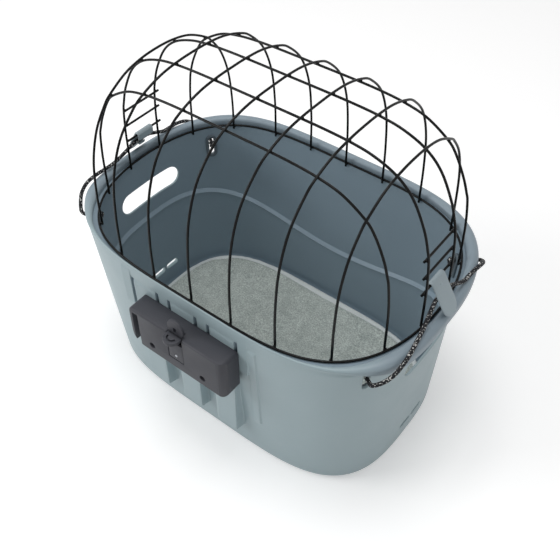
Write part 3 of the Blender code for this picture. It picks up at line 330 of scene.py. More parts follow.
def prism(outline: Sequence[tuple[float, float]], low: float, high: float,
          axis: str = "Y") -> Shape:
    """Straight solid over a flat outline, along one axis."""
    def place(a: float, b: float, along: float) -> Vector:
        return Vector({"X": (along, a, b), "Y": (a, along, b), "Z": (a, b, along)}[axis])
    return loft([[place(a, b, low) for a, b in outline], [place(a, b, high) for a, b in outline]])


def brick(low: Sequence[float], high: Sequence[float]) -> Shape:
    """Straight solid between two corners."""
    return prism([(low[0], low[1]), (high[0], low[1]), (high[0], high[1]), (low[0], high[1])],
                 low[2], high[2], "Z")


def disc(radius: float, sides: int = 40, x: float = 0.0, z: float = 0.0) -> Outline:
    """Outline of a circle."""
    return [(x + radius * math.cos(2 * math.pi * i / sides),
             z + radius * math.sin(2 * math.pi * i / sides)) for i in range(sides)]


def arc(radius: float, start: float, sweep: float, steps: int, x: float = 0.0,
        z: float = 0.0) -> Outline:
    """Points of an arc, whose start and sweep are in degrees."""
    angles = [math.radians(start + sweep * i / steps) for i in range(steps + 1)]
    return [(x + radius * math.cos(a), z + radius * math.sin(a)) for a in angles]


def fillet(radius: float) -> Outline:
    """Quarter round from flat to upright, as (inset, height) steps."""
    angles = [math.radians(90 * i / 8) for i in range(9)]
    return [(radius * (1 - math.sin(a)), radius * (1 - math.cos(a))) for a in angles]


def stadium(length: float, height: float, sides: int = 12, along: int = 1) -> Outline:
    """Outline of a slot with round ends, lying along its first axis."""
    radius, reach = height / 2, (length - height) / 2
    points = []
    for side, start in ((1, -90), (-1, 90)):
        points += arc(radius, start, 180, sides, side * reach)
        last = points[-1]
        points += [(last[0] - side * 2 * reach * i / along, last[1]) for i in range(1, along)]
    return points


def rounded(corners: Sequence[tuple[float, float, float]], sides: int = 8) -> Outline:
    """Outline through (x, z, radius) corners, each rounded."""
    outline: Outline = []
    for i, (x, z, radius) in enumerate(corners):
        here = Vector((x, z))
        before = (Vector(corners[i - 1][:2]) - here).normalized()
        after = (Vector(corners[(i + 1) % len(corners)][:2]) - here).normalized()
        start, end = here + before * radius, here + after * radius
        for j in range(sides + 1):
            t = j / sides
            outline.append(tuple(start * (1 - t) ** 2 + here * 2 * t * (1 - t) + end * t * t))
    return outline


def turned(stations: Iterable[tuple[float, float]], x: float, z: float,
           sides: int = 32) -> Shape:
    """Round solid along Y, from its (y, radius) stations."""
    return loft([[Vector((a, y, b)) for a, b in disc(radius, sides, x, z)]
                 for y, radius in stations])


def joined(*shapes: Shape) -> Shape:
    """Puts several meshes into the first one."""
    first = shapes[0]
    for other in shapes[1:]:
        spare = bpy.data.meshes.new("spare")
        other.to_mesh(spare)
        other.free()
        first.from_mesh(spare)
        bpy.data.meshes.remove(spare)
    return first


def swept(path: Sequence[Vector], radius: Callable[[float], float], sides: int = 20,
          closed: bool = False) -> Shape:
    """A round tube along a path, with a UV map in metres along and turns around.

    Args:
        path: Centre line.
        radius: Radius at a share of the length.
        sides: Faces around.
        closed: Whether the tube joins itself.

    Returns:
        The closed mesh.
    """
    shape = bmesh.new()
    map_layer = shape.loops.layers.uv.new("length")
    count = len(path)
    walked = distances(path)
    normal = Vector((0.0, 0.0, 1.0))
    grid = []
    for i, point in enumerate(path):
        before = path[i - 1] if i or closed else path[0]
        after = path[(i + 1) % count] if i < count - 1 or closed else path[-1]
        tangent = (after - before).normalized()
        normal = normal - tangent * normal.dot(tangent)
        normal = normal.normalized() if normal.length > 1e-6 else tangent.orthogonal().normalized()
        side = tangent.cross(normal)
        size = radius(walked[i] / walked[-1])
        grid.append([shape.verts.new(point + (normal * math.cos(2 * math.pi * j / sides)
                                              + side * math.sin(2 * math.pi * j / sides)) * size)
                     for j in range(sides)])
    pairs = [(i, i + 1) for i in range(count - 1)] + ([(count - 1, 0)] if closed else [])
    for low, high in pairs:
        far = walked[high] if high else walked[-1] + (path[0] - path[-1]).length
        for j in range(sides):
            k = (j + 1) % sides
            face = shape.faces.new((grid[low][j], grid[low][k], grid[high][k], grid[high][j]))
            for loop, (u, v) in zip(face.loops, ((j, walked[low]), (j + 1, walked[low]),
                                                 (j + 1, far), (j, far))):
                loop[map_layer].uv = (u / sides, v)
    if not closed:
        shape.faces.new(list(reversed(grid[0])))
        shape.faces.new(grid[-1])
    return shape


# ---------------------------------------------------------------- finishes
def linear(code: str) -> tuple[float, float, float, float]:
    """Turns an sRGB hex colour into a linear one."""
    parts = [int(code[i:i + 2], 16) / 255 for i in (1, 3, 5)]
    return (*(p / 12.92 if p <= 0.04045 else ((p + 0.055) / 1.055) ** 2.4 for p in parts), 1.0)


def toned(colour: Sequence[float], factor: float) -> tuple[float, ...]:
    """A linear colour made lighter or darker."""
    return (*(min(1.0, part * factor) for part in colour[:3]), 1.0)


def feed(tree: Tree, node: Node, inputs: dict) -> None:
    """Gives a node its inputs: a socket is linked, and anything else is set as the value."""
    for key, value in inputs.items():
        if isinstance(value, Socket):
            tree.links.new(value, node.inputs[key])
        else:
            node.inputs[key].default_value = value


def add_node(tree: Tree, kind: str, inputs: dict | None = None, **settings: object) -> Node:
    """Adds one node.

    Args:
        tree: Tree that the node goes into.
        kind: Its type.
        inputs: Numbers, colours or sockets by input.
        settings: Its own settings.

    Returns:
        The node.
    """
    made = tree.nodes.new(kind)
    for key, value in settings.items():
        setattr(made, key, value)
    feed(tree, made, inputs or {})
    return made


def maths(tree: Tree, operation: str, *terms: Socket | float) -> Socket:
    """Adds one sum; its terms are numbers or sockets, in the order of the inputs."""
    made = add_node(tree, "ShaderNodeMath", dict(enumerate(terms)), operation=operation)
    return made.outputs[0]


def bare_tree(block: bpy.types.Material | bpy.types.World) -> Tree:
    """The emptied node tree of a new material or world."""
    block.use_nodes = True
    block.node_tree.nodes.clear()
    return block.node_tree


MADE: dict[str, bpy.types.Material] = {}


@dataclass(frozen=True)
class Finish:
    """A surface that knows how to make its material once."""

    name: str
    slot: str

    def material(self) -> bpy.types.Material:
        """The material, made at its first use."""
        if self.name not in MADE:
            made = bpy.data.materials.new(self.name)
            tree = bare_tree(made)
            shader = add_node(tree, "ShaderNodeBsdfPrincipled")
            add_node(tree, "ShaderNodeOutputMaterial", {"Surface": shader.outputs["BSDF"]})
            self.paint(tree, shader)
            MADE[self.name] = made
        return MADE[self.name]

    def paint(self, tree: Tree, shader: Node) -> None:
        """Adds the surface's own nodes."""
        raise NotImplementedError

    def speckle(self, tree: Tree, size: float, detail: float = 2.0,
                roughness: float = 0.5, vector: Socket | None = None) -> Socket:
        """A noise of a real grain size, in metres, on the piece's own coordinates."""
        if vector is None:
            vector = add_node(tree, "ShaderNodeTexCoord").outputs["Object"]
        grain = add_node(tree, "ShaderNodeTexNoise",
                         {"Scale": 1 / size, "Detail": detail, "Roughness": roughness,
                          "Vector": vector})
        return grain.outputs["Fac"]

    def spread(self, tree: Tree, source: Socket, low: float, high: float,
               to_low: float = 0.0, to_high: float = 1.0) -> Socket:
        """Maps a range of a number onto another range, and holds it there."""
        made = add_node(tree, "ShaderNodeMapRange",
                        {"From Min": low, "From Max": high, "To Min": to_low, "To Max": to_high,
                         "Value": source}, clamp=True)
        return made.outputs["Result"]

    def drift(self, tree: Tree, size: float, detail: float, low: float, high: float) -> Socket:
        """A number that drifts between two values in patches of a real size."""
        return self.spread(tree, self.speckle(tree, size, detail), 0.3, 0.7, low, high)

    def blended(self, tree: Tree, share: Socket | float, first: Socket | tuple,
                second: Socket | tuple, mode: str = "MIX") -> Socket:
        """Mixes two colours by a share."""
        made = add_node(tree, "ShaderNodeMix", {0: share, 6: first, 7: second}, data_type="RGBA",
                        blend_type=mode)
        return made.outputs[2]

    def bumped(self, tree: Tree, shader: Node, height: Socket,
               depth: float, strength: float = 1.0, under: Socket | None = None) -> Socket:
        """Raises the surface by a height map of a real depth, over another bump if given."""
        inputs = {"Distance": depth, "Strength": strength, "Height": height}
        made = add_node(tree, "ShaderNodeBump", inputs | ({"Normal": under} if under else {}))
        tree.links.new(made.outputs["Normal"], shader.inputs["Normal"])
        return made.outputs["Normal"]


@dataclass(frozen=True)
class MouldedPlastic(Finish):
    """Injection-moulded plastic: one even colour, a fine spark-eroded grain that takes the gloss
    down, fine scuffs, and edges that handling has polished a little paler."""

    colour: str
    worn: str
    roughness: float
    grain: float = 0.0006
    grain_depth: float = 0.00003
    edge_wear: float = 1.0
    flow: float = 0.03
    # lip colour, mixed in by the 'lip' attribute: a darker tone on the rolled lip, and painted
    # shade in the mount side's grooves
    lip: str = ""
    gloss: float = 0.5

    def paint(self, tree: Tree, shader: Node) -> None:
        """Adds the surface's own nodes."""
        base = linear(self.colour)
        # flow marks of the melt, hand-sized, at a few per cent
        colour = self.blended(tree, self.speckle(tree, 0.09, 2.0), toned(base, 1 - self.flow),
                              toned(base, 1 + self.flow))
        # the eroded grain itself, drawn at 1.3 mm so that it shows
        mottle = self.spread(tree, self.speckle(tree, 0.0013, 2.0), 0.3, 0.7)
        colour = self.blended(tree, maths(tree, "MULTIPLY", mottle, 0.35), colour,
                              toned(base, 0.9))
        # a darker tone on the rolled lip, and painted shade in the grooves beside the pilasters
        if self.lip:
            rolled = add_node(tree, "ShaderNodeAttribute", attribute_name="lip").outputs["Fac"]
            colour = self.blended(tree, rolled, colour, linear(self.lip))
        ridge = self.spread(tree, add_node(tree, "ShaderNodeNewGeometry").outputs["Pointiness"],
                            0.515, 0.60, 0.0, self.edge_wear)
        rubbed = self.spread(tree, self.speckle(tree, 0.006, 4.0), 0.42, 0.66)
        colour = self.blended(tree, maths(tree, "MULTIPLY", ridge, rubbed), colour,
                              linear(self.worn))
        feed(tree, shader, {"Base Color": colour, "IOR": 1.49, "Specular IOR Level": self.gloss,
                            "Roughness": self.drift(tree, 0.03, 3.0, self.roughness - 0.03,
                                                    self.roughness + 0.04)})
        self.bumped(tree, shader, self.speckle(tree, self.grain, 2.0), self.grain_depth, 0.6)


@dataclass(frozen=True)
class CoatedSteel(Finish):
    """Steel wire under black polyester powder coat: deep black, a soft highlight that runs along
    each wire, and the faint orange peel of a baked powder."""

    colour: str
    roughness: float

    def paint(self, tree: Tree, shader: Node) -> None:
        """Adds the surface's own nodes."""
        base = linear(self.colour)
        clouds = self.spread(tree, self.speckle(tree, 0.02, 4.0), 0.45, 0.75)
        feed(tree, shader, {"Base Color": self.blended(tree, clouds, base, toned(base, 1.25)),
                            "Roughness": self.drift(tree, 0.008, 3.0, self.roughness - 0.04,
                                                    self.roughness + 0.08),
                            "Specular IOR Level": 0.15})
        # orange peel: about 1.2 mm from crest to crest
        self.bumped(tree, shader, self.speckle(tree, 0.0012, 1.0), 0.00002, 0.3)


@dataclass(frozen=True)
class BareSteel(Finish):
    """Zinc-plated steel of screws, nuts and pins: bright, cool grey, with fine turning marks."""

    colour: str
    roughness: float

    def paint(self, tree: Tree, shader: Node) -> None:
        """Adds the surface's own nodes."""
        base = linear(self.colour)
        colour = self.blended(tree, self.speckle(tree, 0.0015, 3.0), toned(base, 0.8), base)
        feed(tree, shader, {"Base Color": colour, "Metallic": 1.0,
                            "Roughness": self.drift(tree, 0.0008, 2.0, self.roughness - 0.06,
                                                    self.roughness + 0.1)})
        self.bumped(tree, shader, self.speckle(tree, 0.0004, 1.0), 0.00001, 0.4)


@dataclass(frozen=True)
class BraidedElastic(Finish):
    """Rubber core in a round polyester braid: matt near-black plaits with pale tracer threads.
    The flecks are drawn 1.8 mm long, about twice the real ones, so that they show."""

    colour: str
    tracer: str

    def paint(self, tree: Tree, shader: Node) -> None:
        """Adds the surface's own nodes."""
        place = add_node(tree, "ShaderNodeSeparateXYZ",
                         {0: add_node(tree, "ShaderNodeUVMap", uv_map="length").outputs[0]})
        waves = []
        for sign in (1, -1):
            # eight plaits around, which repeat every 3.2 mm along the cord
            around = maths(tree, "MULTIPLY", place.outputs["X"], 8.0 * sign)
            climb = maths(tree, "MULTIPLY_ADD", place.outputs["Y"], 1 / 0.0032, around)
            waves.append(maths(tree, "SINE", maths(tree, "MULTIPLY", climb, 2 * math.pi)))
        plait = maths(tree, "MAXIMUM", *waves)
        flecks = self.speckle(tree, 0.0018, 0.0)
        base = linear(self.colour)
        colour = self.blended(tree, self.spread(tree, plait, -0.4, 0.8), toned(base, 0.35), base)
        colour = self.blended(tree, self.spread(tree, flecks, 0.62, 0.70), colour,
                              linear(self.tracer))
        feed(tree, shader, {"Base Color": colour, "Roughness": 0.85, "Specular IOR Level": 0.25})
        self.bumped(tree, shader, plait, 0.0002, 0.5)


@dataclass(frozen=True)
class PlushCloth(Finish):
    """Short-pile polyester plush with a smooth bound edge: the pile is brushed two ways, so it
    looks mottled, and it glows a little at its outline; the binding is a paler, flatter tape."""

    colour: str
    shade: str
    binding: str

    def paint(self, tree: Tree, shader: Node) -> None:
        """Adds the surface's own nodes."""
        # brushed patches of 5 to 20 mm, and the tufts themselves drawn at 2 mm so they show
        patches = self.speckle(tree, 0.016, 5.0, 0.62)
        tufts = self.speckle(tree, 0.0020, 3.0, 0.7)
        colour = self.blended(tree, self.spread(tree, patches, 0.36, 0.62), linear(self.shade),
                              linear(self.colour))
        speck = self.blended(tree, self.spread(tree, tufts, 0.35, 0.68), (0.6, 0.61, 0.62, 1.0),
                             (1.32, 1.31, 1.29, 1.0))
        colour = self.blended(tree, 1.0, colour, speck, "MULTIPLY")
        edge = add_node(tree, "ShaderNodeAttribute", attribute_name="binding").outputs["Fac"]
        bound = self.spread(tree, edge, 0.45, 0.55)
        weave = self.blended(tree, self.speckle(tree, 0.0009, 1.0),
                             toned(linear(self.binding), 0.92), linear(self.binding))
        feed(tree, shader, {"Base Color": self.blended(tree, bound, colour, weave),
                            "Roughness": 0.95, "Sheen Weight": 0.25, "Sheen Roughness": 0.5})
        under = self.bumped(tree, shader, patches, 0.0010, 0.5)
        self.bumped(tree, shader, tufts, 0.0005, 0.6, under)


class Looks:
    """Every finish of the basket."""

    # its lip colour: a darker tone on the rolled lip, and painted shade in the grooves of the
    # mount side
    TUB = MouldedPlastic("blue_grey_polypropylene", "tub_plastic", "#97a9ae", "#aab9bd", 0.43,
                         lip="#82919b")
    # the tub's own plastic, drawn darker on the inside faces: painted shade
    SHADED_LINING = MouldedPlastic("slate_polypropylene_inside", "tub_plastic", "#8395a1", "#95a5af",
                            0.50)
    MOUNT = MouldedPlastic("dark_grey_nylon", "adapter_plastic", "#404147", "#62616a", 0.54,
                           grain_depth=0.00004, edge_wear=0.0, flow=0.008, gloss=0.3)
    HOOK = MouldedPlastic("light_grey_acetal", "hook_plastic", "#98a6ac", "#abb8bd", 0.36,
                          grain_depth=0.00001, edge_wear=0.0, flow=0.008)
    GUIDE = MouldedPlastic("guide_acetal", "hook_plastic", "#5b666d", "#78838a", 0.42,
                           edge_wear=0.0, flow=0.01)
    WIRE = CoatedSteel("black_powder_coated_steel", "cage_wire", "#040505", 0.19)
    STEEL = BareSteel("zinc_plated_steel", "steel", "#b9bcc2", 0.3)
    CORD = BraidedElastic("braided_elastic", "elastic", "#232428", "#bdbdba")
    PLUSH = PlushCloth("grey_green_plush", "plush", "#c4ccc6", "#b1b9b4", "#e0e5e4")


def keep(piece: Piece, body: str, finish: Finish, *nodes: str) -> Piece:
    """Hands a finished piece to the frame.

    Args:
        piece: The piece.
        body: CAD body that it moves with.
        finish: Finish of the piece; not used.
        nodes: CAD nodes that it stands for.

    Returns:
        The piece.
    """
    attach(piece, body)
    if nodes:
        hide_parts(*nodes)
    LOG.info("%s rides on %s and stands for %d nodes", piece.name, body, len(nodes))
    return piece


# ---------------------------------------------------------------- Geometry Nodes trees
def new_tree(name: str, sizes: dict[str, float]) -> tuple[Tree, Node]:
    """A Geometry Nodes tree with a geometry, named sizes and a material as its inputs."""
    tree = bpy.data.node_groups.new(name, "GeometryNodeTree")
    tree.interface.new_socket("Geometry", in_out="INPUT", socket_type="NodeSocketGeometry")
    for word, value in sizes.items():
        made = tree.interface.new_socket(word, in_out="INPUT", socket_type="NodeSocketFloat")
        made.default_value = value
    tree.interface.new_socket("Material", in_out="INPUT", socket_type="NodeSocketMaterial")
    tree.interface.new_socket("Geometry", in_out="OUTPUT", socket_type="NodeSocketGeometry")
    return tree, tree.nodes.new("NodeGroupInput")


def close_tree(tree: Tree, inputs: Node, shape: Socket) -> None:
    """Ends a tree: real geometry, smooth faces and its material."""
    real = add_node(tree, "GeometryNodeRealizeInstances", {0: shape})
    smooth = add_node(tree, "GeometryNodeSetShadeSmooth", {0: real.outputs[0]})
    dressed = add_node(tree, "GeometryNodeSetMaterial", {"Geometry": smooth.outputs[0],
                                                         "Material": inputs.outputs["Material"]})
    add_node(tree, "NodeGroupOutput", {0: dressed.outputs[0]})


def wire_tree() -> Tree:
    """Turns every line of a mesh into a round wire with closed ends."""
    tree, inputs = new_tree("bent_wire", {"Diameter": WIRE})
    line = add_node(tree, "GeometryNodeMeshToCurve", {0: inputs.outputs["Geometry"]})
    half = maths(tree, "MULTIPLY", inputs.outputs["Diameter"], 0.5)
    circle = add_node(tree, "GeometryNodeCurvePrimitiveCircle", {"Resolution": 14, "Radius": half})
    tube = add_node(tree, "GeometryNodeCurveToMesh",
                    {"Fill Caps": True, "Curve": line.outputs[0],
                     "Profile Curve": circle.outputs[0]})
    close_tree(tree, inputs, tube.outputs[0])
    return tree


def bead_tree() -> Tree:
    """Sets a small weld bead, each a little different, on every point of a mesh."""
    tree, inputs = new_tree("weld_beads", {"Bead": 0.0021})
    ball = add_node(tree, "GeometryNodeMeshIcoSphere",
                    {"Subdivisions": 2, "Radius": inputs.outputs["Bead"]})
    size = add_node(tree, "FunctionNodeRandomValue", {0: (0.9,) * 3, 1: (1.12,) * 3, "Seed": 7},
                    data_type="FLOAT_VECTOR")
    spread = add_node(tree, "GeometryNodeInstanceOnPoints",
                      {"Points": inputs.outputs["Geometry"], "Instance": ball.outputs[0],
                       "Scale": size.outputs[0]})
    close_tree(tree, inputs, spread.outputs[0])
    return tree


def stitch_tree() -> Tree:
    """Lays short thread stitches along every line of a mesh."""
    tree, inputs = new_tree("seam_stitches", {"Pitch": 0.004, "Thread": 0.0009})
    line = add_node(tree, "GeometryNodeMeshToCurve", {0: inputs.outputs["Geometry"]})
    beat = add_node(tree, "GeometryNodeResampleCurve",
                    {"Curve": line.outputs[0], "Length": inputs.outputs["Pitch"]}, mode="LENGTH")
    thread = add_node(tree, "GeometryNodeMeshUVSphere",
                      {"Segments": 6, "Rings": 4, "Radius": inputs.outputs["Thread"]})
    long = add_node(tree, "GeometryNodeTransform",
                    {"Scale": (0.55, 0.42, 1.7), "Geometry": thread.outputs[0]})
    along = add_node(tree, "GeometryNodeInputTangent").outputs[0]
    heading = add_node(tree, "FunctionNodeAlignRotationToVector", {"Vector": along}, axis="Z")
    spread = add_node(tree, "GeometryNodeInstanceOnPoints",
                      {"Points": beat.outputs[0], "Instance": long.outputs[0],
                       "Rotation": heading.outputs[0]})
    close_tree(tree, inputs, spread.outputs[0])
    return tree


def grown(name: str, paths: Iterable[Sequence[Vector]], tree: Tree,
          sizes: dict[str, float], finish: Finish, closed: bool = False) -> Piece:
    """Runs a tree on lines or points and keeps its result as a plain mesh.

    Args:
        name: Name of the piece.
        paths: Lines; a line of one point is a single place.
        tree: Geometry Nodes tree.
        sizes: Values of its named inputs.
        finish: Surface of the result.
        closed: Whether each line joins itself.

    Returns:
        The piece.
    """
    points: list[Vector] = []
    edges: list[tuple[int, int]] = []
    for path in paths:
        start = len(points)
        points += list(path)
        edges += [(i, i + 1) for i in range(start, len(points) - 1)]
        if closed:
            edges.append((len(points) - 1, start))
    seed = bpy.data.meshes.new(f"{name}_lines")
    seed.from_pydata([tuple(p) for p in points], edges, [])
    piece = add_object(name, seed)
    step = piece.modifiers.new("grow", "NODES")
    step.node_group = tree
    values = {**sizes, "Material": finish.material()}
    for item in tree.interface.items_tree:
        if item.in_out == "INPUT" and item.name in values:
            step[item.identifier] = values[item.name]
    piece.update_tag()
    evaluated(piece).set_sharp_from_angle(angle=math.radians(50))
    return piece


# ---------------------------------------------------------------- tub
@dataclass
class Tub:
    """The moulded tub: rolled lip, mount pilasters, hand holes, vents and cord slots."""

    column_step: float = 0.0034
    fine_step: float = 0.0028
    apart: float = 0.0009
    lip_rise: float = 0.008
    # draws the rim section's height out, so that even steps along it suit both directions
    stretch: float = 60.0
    flush_rise: float = 0.0016
    seat_in: float = 0.0006
    ledge_top: float = 0.0125
    ledge_end: float = 0.097
    ledge_sag: float = 0.055
    ledge_step: float = LEDGE_STEP
    ledge_band: float = 0.0048
    ledge_bead: float = 0.0012
    ledge_fade: float = 0.0035
    heel: float = 0.1945
    flat_in: float = 0.004
    face: float = 0.1625
    strip_face: float = 0.1621
    pilasters: tuple[float, ...] = (-0.073, -0.012, 0.049)
    strips: tuple[float, ...] = (-0.1035, -0.0425, 0.0185, 0.0795)
    pilaster_half: float = 0.0185
    strip_half: float = 0.0075
    groove: float = 0.0024
    rib: float = 0.092
    rib_half: float = 0.0058
    rib_proud: float = 0.0018
    hand_hole: tuple[float, float, float] = (0.108, 0.030, 0.059)
    vent: tuple[float, float, float] = (0.023, 0.008, 0.212)
    vent_spread: float = 0.0135
    bore: float = 0.0023
    mount_reach: float = 0.13
    flank: float = 0.0006
    edge_soft: float = 0.0012
    edge_softer: float = 0.0014
    groove_out: float = 0.00225
    # how strongly the grooves take the lip colour: painted shade
    groove_shade: float = 1.6
    turns: list[float] = field(default_factory=list)

    # columns beside each crisp edge of the mount side
    edge_columns = (-0.003, -0.0017, -0.001, -0.0004, 0.0002, 0.0008, 0.0015)
    # how far a form's edge slopes, inside and outside its half width
    strip_flank = (0.0007, 0.0005)
    rib_flank = (0.0016, 0.0008)
    hollow_flank = (0.002, 0.0004)
    groove_flank = (0.0018, 0.0026)
    # drops below the ring over which the forms of the mount side fade in and out; shaded: painted
    # shade in the grooves
    softer_in = (0.06, 0.10)
    shaded = (0.021, 0.069)
    relief_in = (0.0195, 0.0245)
    pilasters_out = (0.1985, 0.2035)
    rib_out = (0.1715, 0.1765)
    strips_out = (0.0671, 0.0689)
    grooves_in = (0.0195, 0.0220)
    grooves_out = (0.0671, 0.0700)
    hollows_in = (0.0125, 0.0170)
    hollows_out = (0.1950, 0.1985)

    # rim section: (outwards as a share of the rim's width, up as a share of its rise)
    rolled = ((0.368, -0.44), (0.421, 0.06), (0.579, 0.50), (0.747, 0.40), (0.853, -0.06),
              (0.863, -1.00), (0.979, -1.00), (1.000, -0.25), (0.958, 0.38), (0.800, 0.83),
              (0.595, 1.00), (0.400, 0.91), (0.274, 0.63), (0.236, 0.19), (0.236, -0.225))
    # the same rows on the mount side, where the rim has no lip
    flush = ((1.000, -3.60), (1.003, -3.00), (1.006, -2.50), (1.009, -2.00), (1.012, -1.50),
             (1.015, -1.00), (1.018, -0.50), (1.018, 0.00), (1.000, 0.42), (0.940, 0.78),
             (0.825, 1.00), (0.690, 0.88), (0.600, 0.50), (0.560, 0.00), (0.550, -1.125))

    def spread_columns(self) -> None:
        """Sets the turns of the columns: even along the wall, closer at the pilasters."""
        fine = [turn % (2 * math.pi) for turn in even_turns(6000, NECK)] + [2 * math.pi]
        places = [NECK.at(t) for t in fine]
        walked = [0.0]
        for a, b in zip(places, places[1:]):
            walked.append(walked[-1] + math.dist(a, b))
        count = round(walked[-1] / self.column_step)
        turns, index = [], 0
        for i in range(count):
            while walked[index] < walked[-1] * i / count:
                index += 1
            turns.append(fine[index])
        crisp = [m + s * self.pilaster_half for m in self.pilasters for s in (-1, 1)]
        crisp += [m + s * self.strip_half for m in self.strips for s in (-1, 1)]
        crisp += [self.rib - self.rib_half, self.rib + self.rib_half]
        places = sorted({round(c + o, 5) for c in crisp for o in self.edge_columns})
        low, high = places[0] - self.column_step / 2, places[-1] + self.column_step / 2
        kept = [t for t in turns if t < math.pi or not low < NECK.at(t)[0] < high]
        x = places[0]
        while x < places[-1]:
            if min(abs(x - p) for p in places) > self.apart:
                kept.append(self.near_turn(x))
            x += self.fine_step
        thinned = [p for i, p in enumerate(places) if i == 0 or p - places[i - 1] > 0.0002]
        self.turns = sorted(kept + [self.near_turn(x) for x in thinned])

    @staticmethod
    def near_turn(x: float) -> float:
        """Turn of the mount side's wall at x."""
        share = abs(x) / NECK.half_length
        return 2 * math.pi - math.acos(math.copysign(share ** (END_POWER / 2), x))

    def outer_row(self, drop: float) -> list[Vector]:
        """Row of the outer skin, with the pilasters, strips and rib where they stand."""
        rising = eased(drop, *self.relief_in) * (1 - eased(drop, *self.pilasters_out))
        stripe = 1 - eased(drop, *self.strips_out)
        ribbed = eased(drop, *self.relief_in) * (1 - eased(drop, *self.rib_out))
        soft = self.edge_soft + self.edge_softer * eased(drop, *self.softer_in)
        sunk = eased(drop, *self.grooves_in) * (1 - eased(drop, *self.grooves_out))
        row = []
        for turn in self.turns:
            x, y = wall_plan(drop).at(turn)
            if turn > math.pi and abs(x) < self.mount_reach:
                place = NECK.at(turn)[0]
                on = self.cover(place, self.pilasters, self.pilaster_half + self.flank, soft,
                                0.0) * rising
                y = y + (min(y, -self.face) - y) * on
                on = self.cover(place, self.strips, self.strip_half, *self.strip_flank) * stripe
                y = y + (min(y, -self.strip_face) - y) * on
                y += self.groove * sunk * self.groove_share(place)
                on = self.cover(place, (self.rib,), self.rib_half, *self.rib_flank) * ribbed
                y -= self.rib_proud * on
            row.append(Vector((x, y, RING_HEIGHT - drop)))
        return row

    @staticmethod
    def cover(place: float, middles: Iterable[float], half: float, inside: float,
              outside: float) -> float:
        """1 over a raised form, sloping to 0 beside it."""
        return max(1 - eased(abs(place - m), half - inside, half + outside) for m in middles)

    def groove_share(self, place: float) -> float:
        """How much of a groove beside a pilaster lies at a place along the wall."""
        return max(1 - eased(abs(place - m - s * (self.pilaster_half + self.groove_out)),
                             *self.groove_flank) for m in self.pilasters for s in (-1, 1))

    def ledge_drop(self, turn: float) -> float:
        """Drop of the moulded line inside: high at the ends, low along the sides."""
        share = NECK.at(turn)[0] / NECK.half_length
        return self.ledge_end + self.ledge_sag * (1 - share ** 2)

    def inner_row(self, drop: float | Callable[[float], float],
                  inset: float = 0.0) -> list[Vector]:
        """Row of the inner skin; the drop may depend on the turn."""
        row = []
        for turn in self.turns:
            level = drop(turn) if callable(drop) else drop
            x, y = wall_plan(min(level, FOOT_DROP)).shrunk(WALL + inset).at(turn)
            if turn > math.pi and abs(x) < self.mount_reach:
                open_here = (eased(level, *self.hollows_in)
                             * (1 - eased(level, *self.hollows_out)))
                half = self.pilaster_half - WALL
                place = NECK.at(turn)[0]
                on = self.cover(place, self.pilasters, half, *self.hollow_flank) * open_here
                y = y + (min(y, WALL - self.face) - y) * on
            row.append(Vector((x, y, RING_HEIGHT - level)))
        return row

    @staticmethod
    def lip_share(turn: float) -> float:
        """How much of the rolled lip the rim has: all at the far side, none on the mount side."""
        if turn <= math.pi:
            return 1.0
        return 1 - eased(-NECK.at(turn)[1] / NECK.near_width, 0.55, 0.97)

    def rim_rows(self) -> Rows:
        """Rows over the rim, from the outer wall to the ring's seat."""
        spots = [Vector((a, b * self.lip_rise * self.stretch, 0)) for a, b in self.rolled]
        lip = smooth_path(spots, 0.05)
        knots = distances(lip)
        rows, marks = [], [0.0]
        for spot in spots[1:]:
            best = min(range(len(lip)), key=lambda i: (lip[i] - spot).length)
            marks.append(max(marks[-1] + 1e-4, knots[best]))
        for point, along in zip(lip, knots):
            low = max(i for i in range(len(marks)) if marks[i] <= along + 1e-9)
            high = min(low + 1, len(marks) - 1)
            part = min(1.0, (along - marks[low]) / max(marks[high] - marks[low], 1e-6))
            a, b = self.flush[low], self.flush[high]
            flush = (a[0] + (b[0] - a[0]) * part, (a[1] + (b[1] - a[1]) * part) * self.flush_rise)
            rows.append(self.rim_row((point.x, point.y / self.stretch), flush))
        return rows

    def rim_row(self, lip: tuple[float, float], flush: tuple[float, float]) -> list[Vector]:
        """Row of the rim from its place in the rolled section and in the flush one."""
        rolled_plan, flush_plan = RING.mixed(LIP, lip[0]), RING.mixed(NECK, flush[0])
        row = []
        for turn in self.turns:
            a = Vector((*flush_plan.at(turn), RING_HEIGHT + flush[1]))
            b = Vector((*rolled_plan.at(turn), RING_HEIGHT + lip[1]))
            row.append(a.lerp(b, self.lip_share(turn)))
        return row

